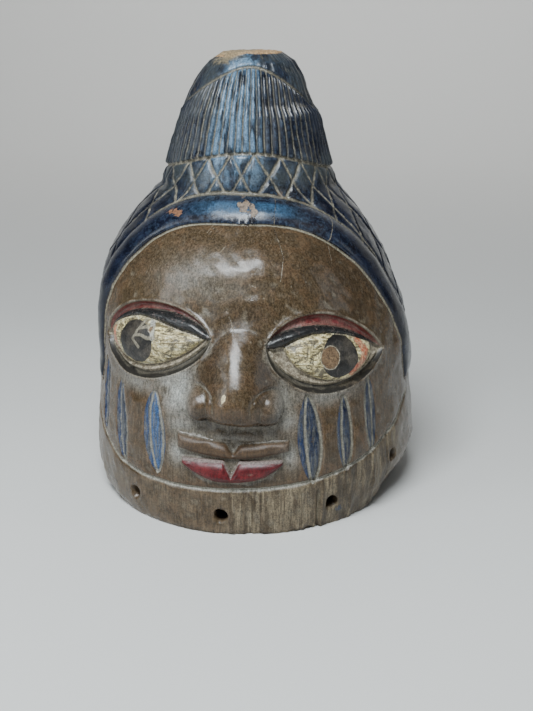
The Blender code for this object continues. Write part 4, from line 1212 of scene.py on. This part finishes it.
def floor_piece():
    """Pale floor that runs up into a backdrop behind the mask."""
    turn = np.linspace(0.0, 0.5 * np.pi, 24)
    depth = np.concatenate([[-4.0], 1.6 + 1.0 * np.sin(turn), [2.6]])
    rise = np.concatenate([[0.0], 1.0 - np.cos(turn), [4.0]])
    points = []
    for side in (-4.0, 4.0):
        points.extend([(side, float(y), float(z)) for y, z in zip(depth, rise)])
    count = len(depth)
    faces = [(k, count + k, count + k + 1, k + 1) for k in range(count - 1)]
    mesh = bpy.data.meshes.new("floor")
    mesh.from_pydata(points, [], faces)
    mesh.shade_smooth()
    floor = bpy.data.objects.new("floor", mesh)
    bpy.context.collection.objects.link(floor)
    material = bpy.data.materials.new("pale_floor")
    material.use_nodes = True
    shader = material.node_tree.nodes["Principled BSDF"]
    shader.inputs["Base Color"].default_value = (0.66, 0.66, 0.64, 1.0)
    shader.inputs["Roughness"].default_value = 0.85
    mesh.materials.append(material)
    return floor


def add_camera():
    """Camera at the photograph's distance, height and slight turn to the viewer's right."""
    azimuth = math.radians(5.5)
    pitch = math.radians(16.1)
    distance = 0.86
    height = 0.330
    aside = 0.0080
    ahead = Vector((-math.sin(azimuth), math.cos(azimuth), 0.0))
    right = Vector((math.cos(azimuth), math.sin(azimuth), 0.0))
    data = bpy.data.cameras.new("camera")
    data.sensor_width = 36.0
    data.lens = 1230.0 / 711.0 * 36.0
    data.clip_start = 0.05
    camera = bpy.data.objects.new("camera", data)
    camera.location = Vector((AXIS_X, AXIS_Y, height)) - distance * ahead + aside * right
    camera.rotation_euler = (math.pi * 0.5 - pitch, 0.0, azimuth)
    bpy.context.collection.objects.link(camera)
    bpy.context.scene.camera = camera


def area_light(name, place, target, size, power, colour=(1.0, 1.0, 1.0)):
    data = bpy.data.lights.new(name, "AREA")
    data.shape = "RECTANGLE"
    data.size = size[0]
    data.size_y = size[1]
    data.energy = power
    data.color = colour
    lamp = bpy.data.objects.new(name, data)
    lamp.location = place
    direction = Vector(target) - Vector(place)
    lamp.rotation_euler = direction.to_track_quat("-Z", "Y").to_euler()
    bpy.context.collection.objects.link(lamp)


def add_lights():
    target = (0.0, 0.0, 0.16)
    daylight = (0.90, 0.96, 1.0)
    area_light("overhead", (-0.15, -0.82, 1.20), target, (0.74, 0.46), 32.0, daylight)
    area_light("left", (-1.20, -0.90, 0.72), target, (0.60, 0.90), 8.0, daylight)
    area_light("right", (1.30, -0.30, 0.65), target, (0.40, 0.80), 1.6, daylight)
    area_light("behind", (0.0, 1.20, 2.20), (0.0, 2.60, 1.71), (2.4, 0.6), 54.0)
    world = bpy.data.worlds.new("studio")
    world.use_nodes = True
    ground = world.node_tree.nodes["Background"]
    ground.inputs["Color"].default_value = (0.92, 0.95, 1.0, 1.0)
    ground.inputs["Strength"].default_value = 0.07
    bpy.context.scene.world = world


mask_piece = build_mask()
paint_fields(mask_piece)
mask_piece.data.shade_smooth()
mask_piece.data.materials.clear()
mask_piece.data.materials.append(wood_paint())
mask_piece.data.transform(Matrix.Diagonal((TRIM, TRIM, TRIM_UP, 1.0)))
mask_piece.data.transform(Matrix.Translation((AXIS_X, AXIS_Y, 0.0)))
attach(mask_piece, "root")
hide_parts("mask")

floor_piece()
add_camera()
add_lights()
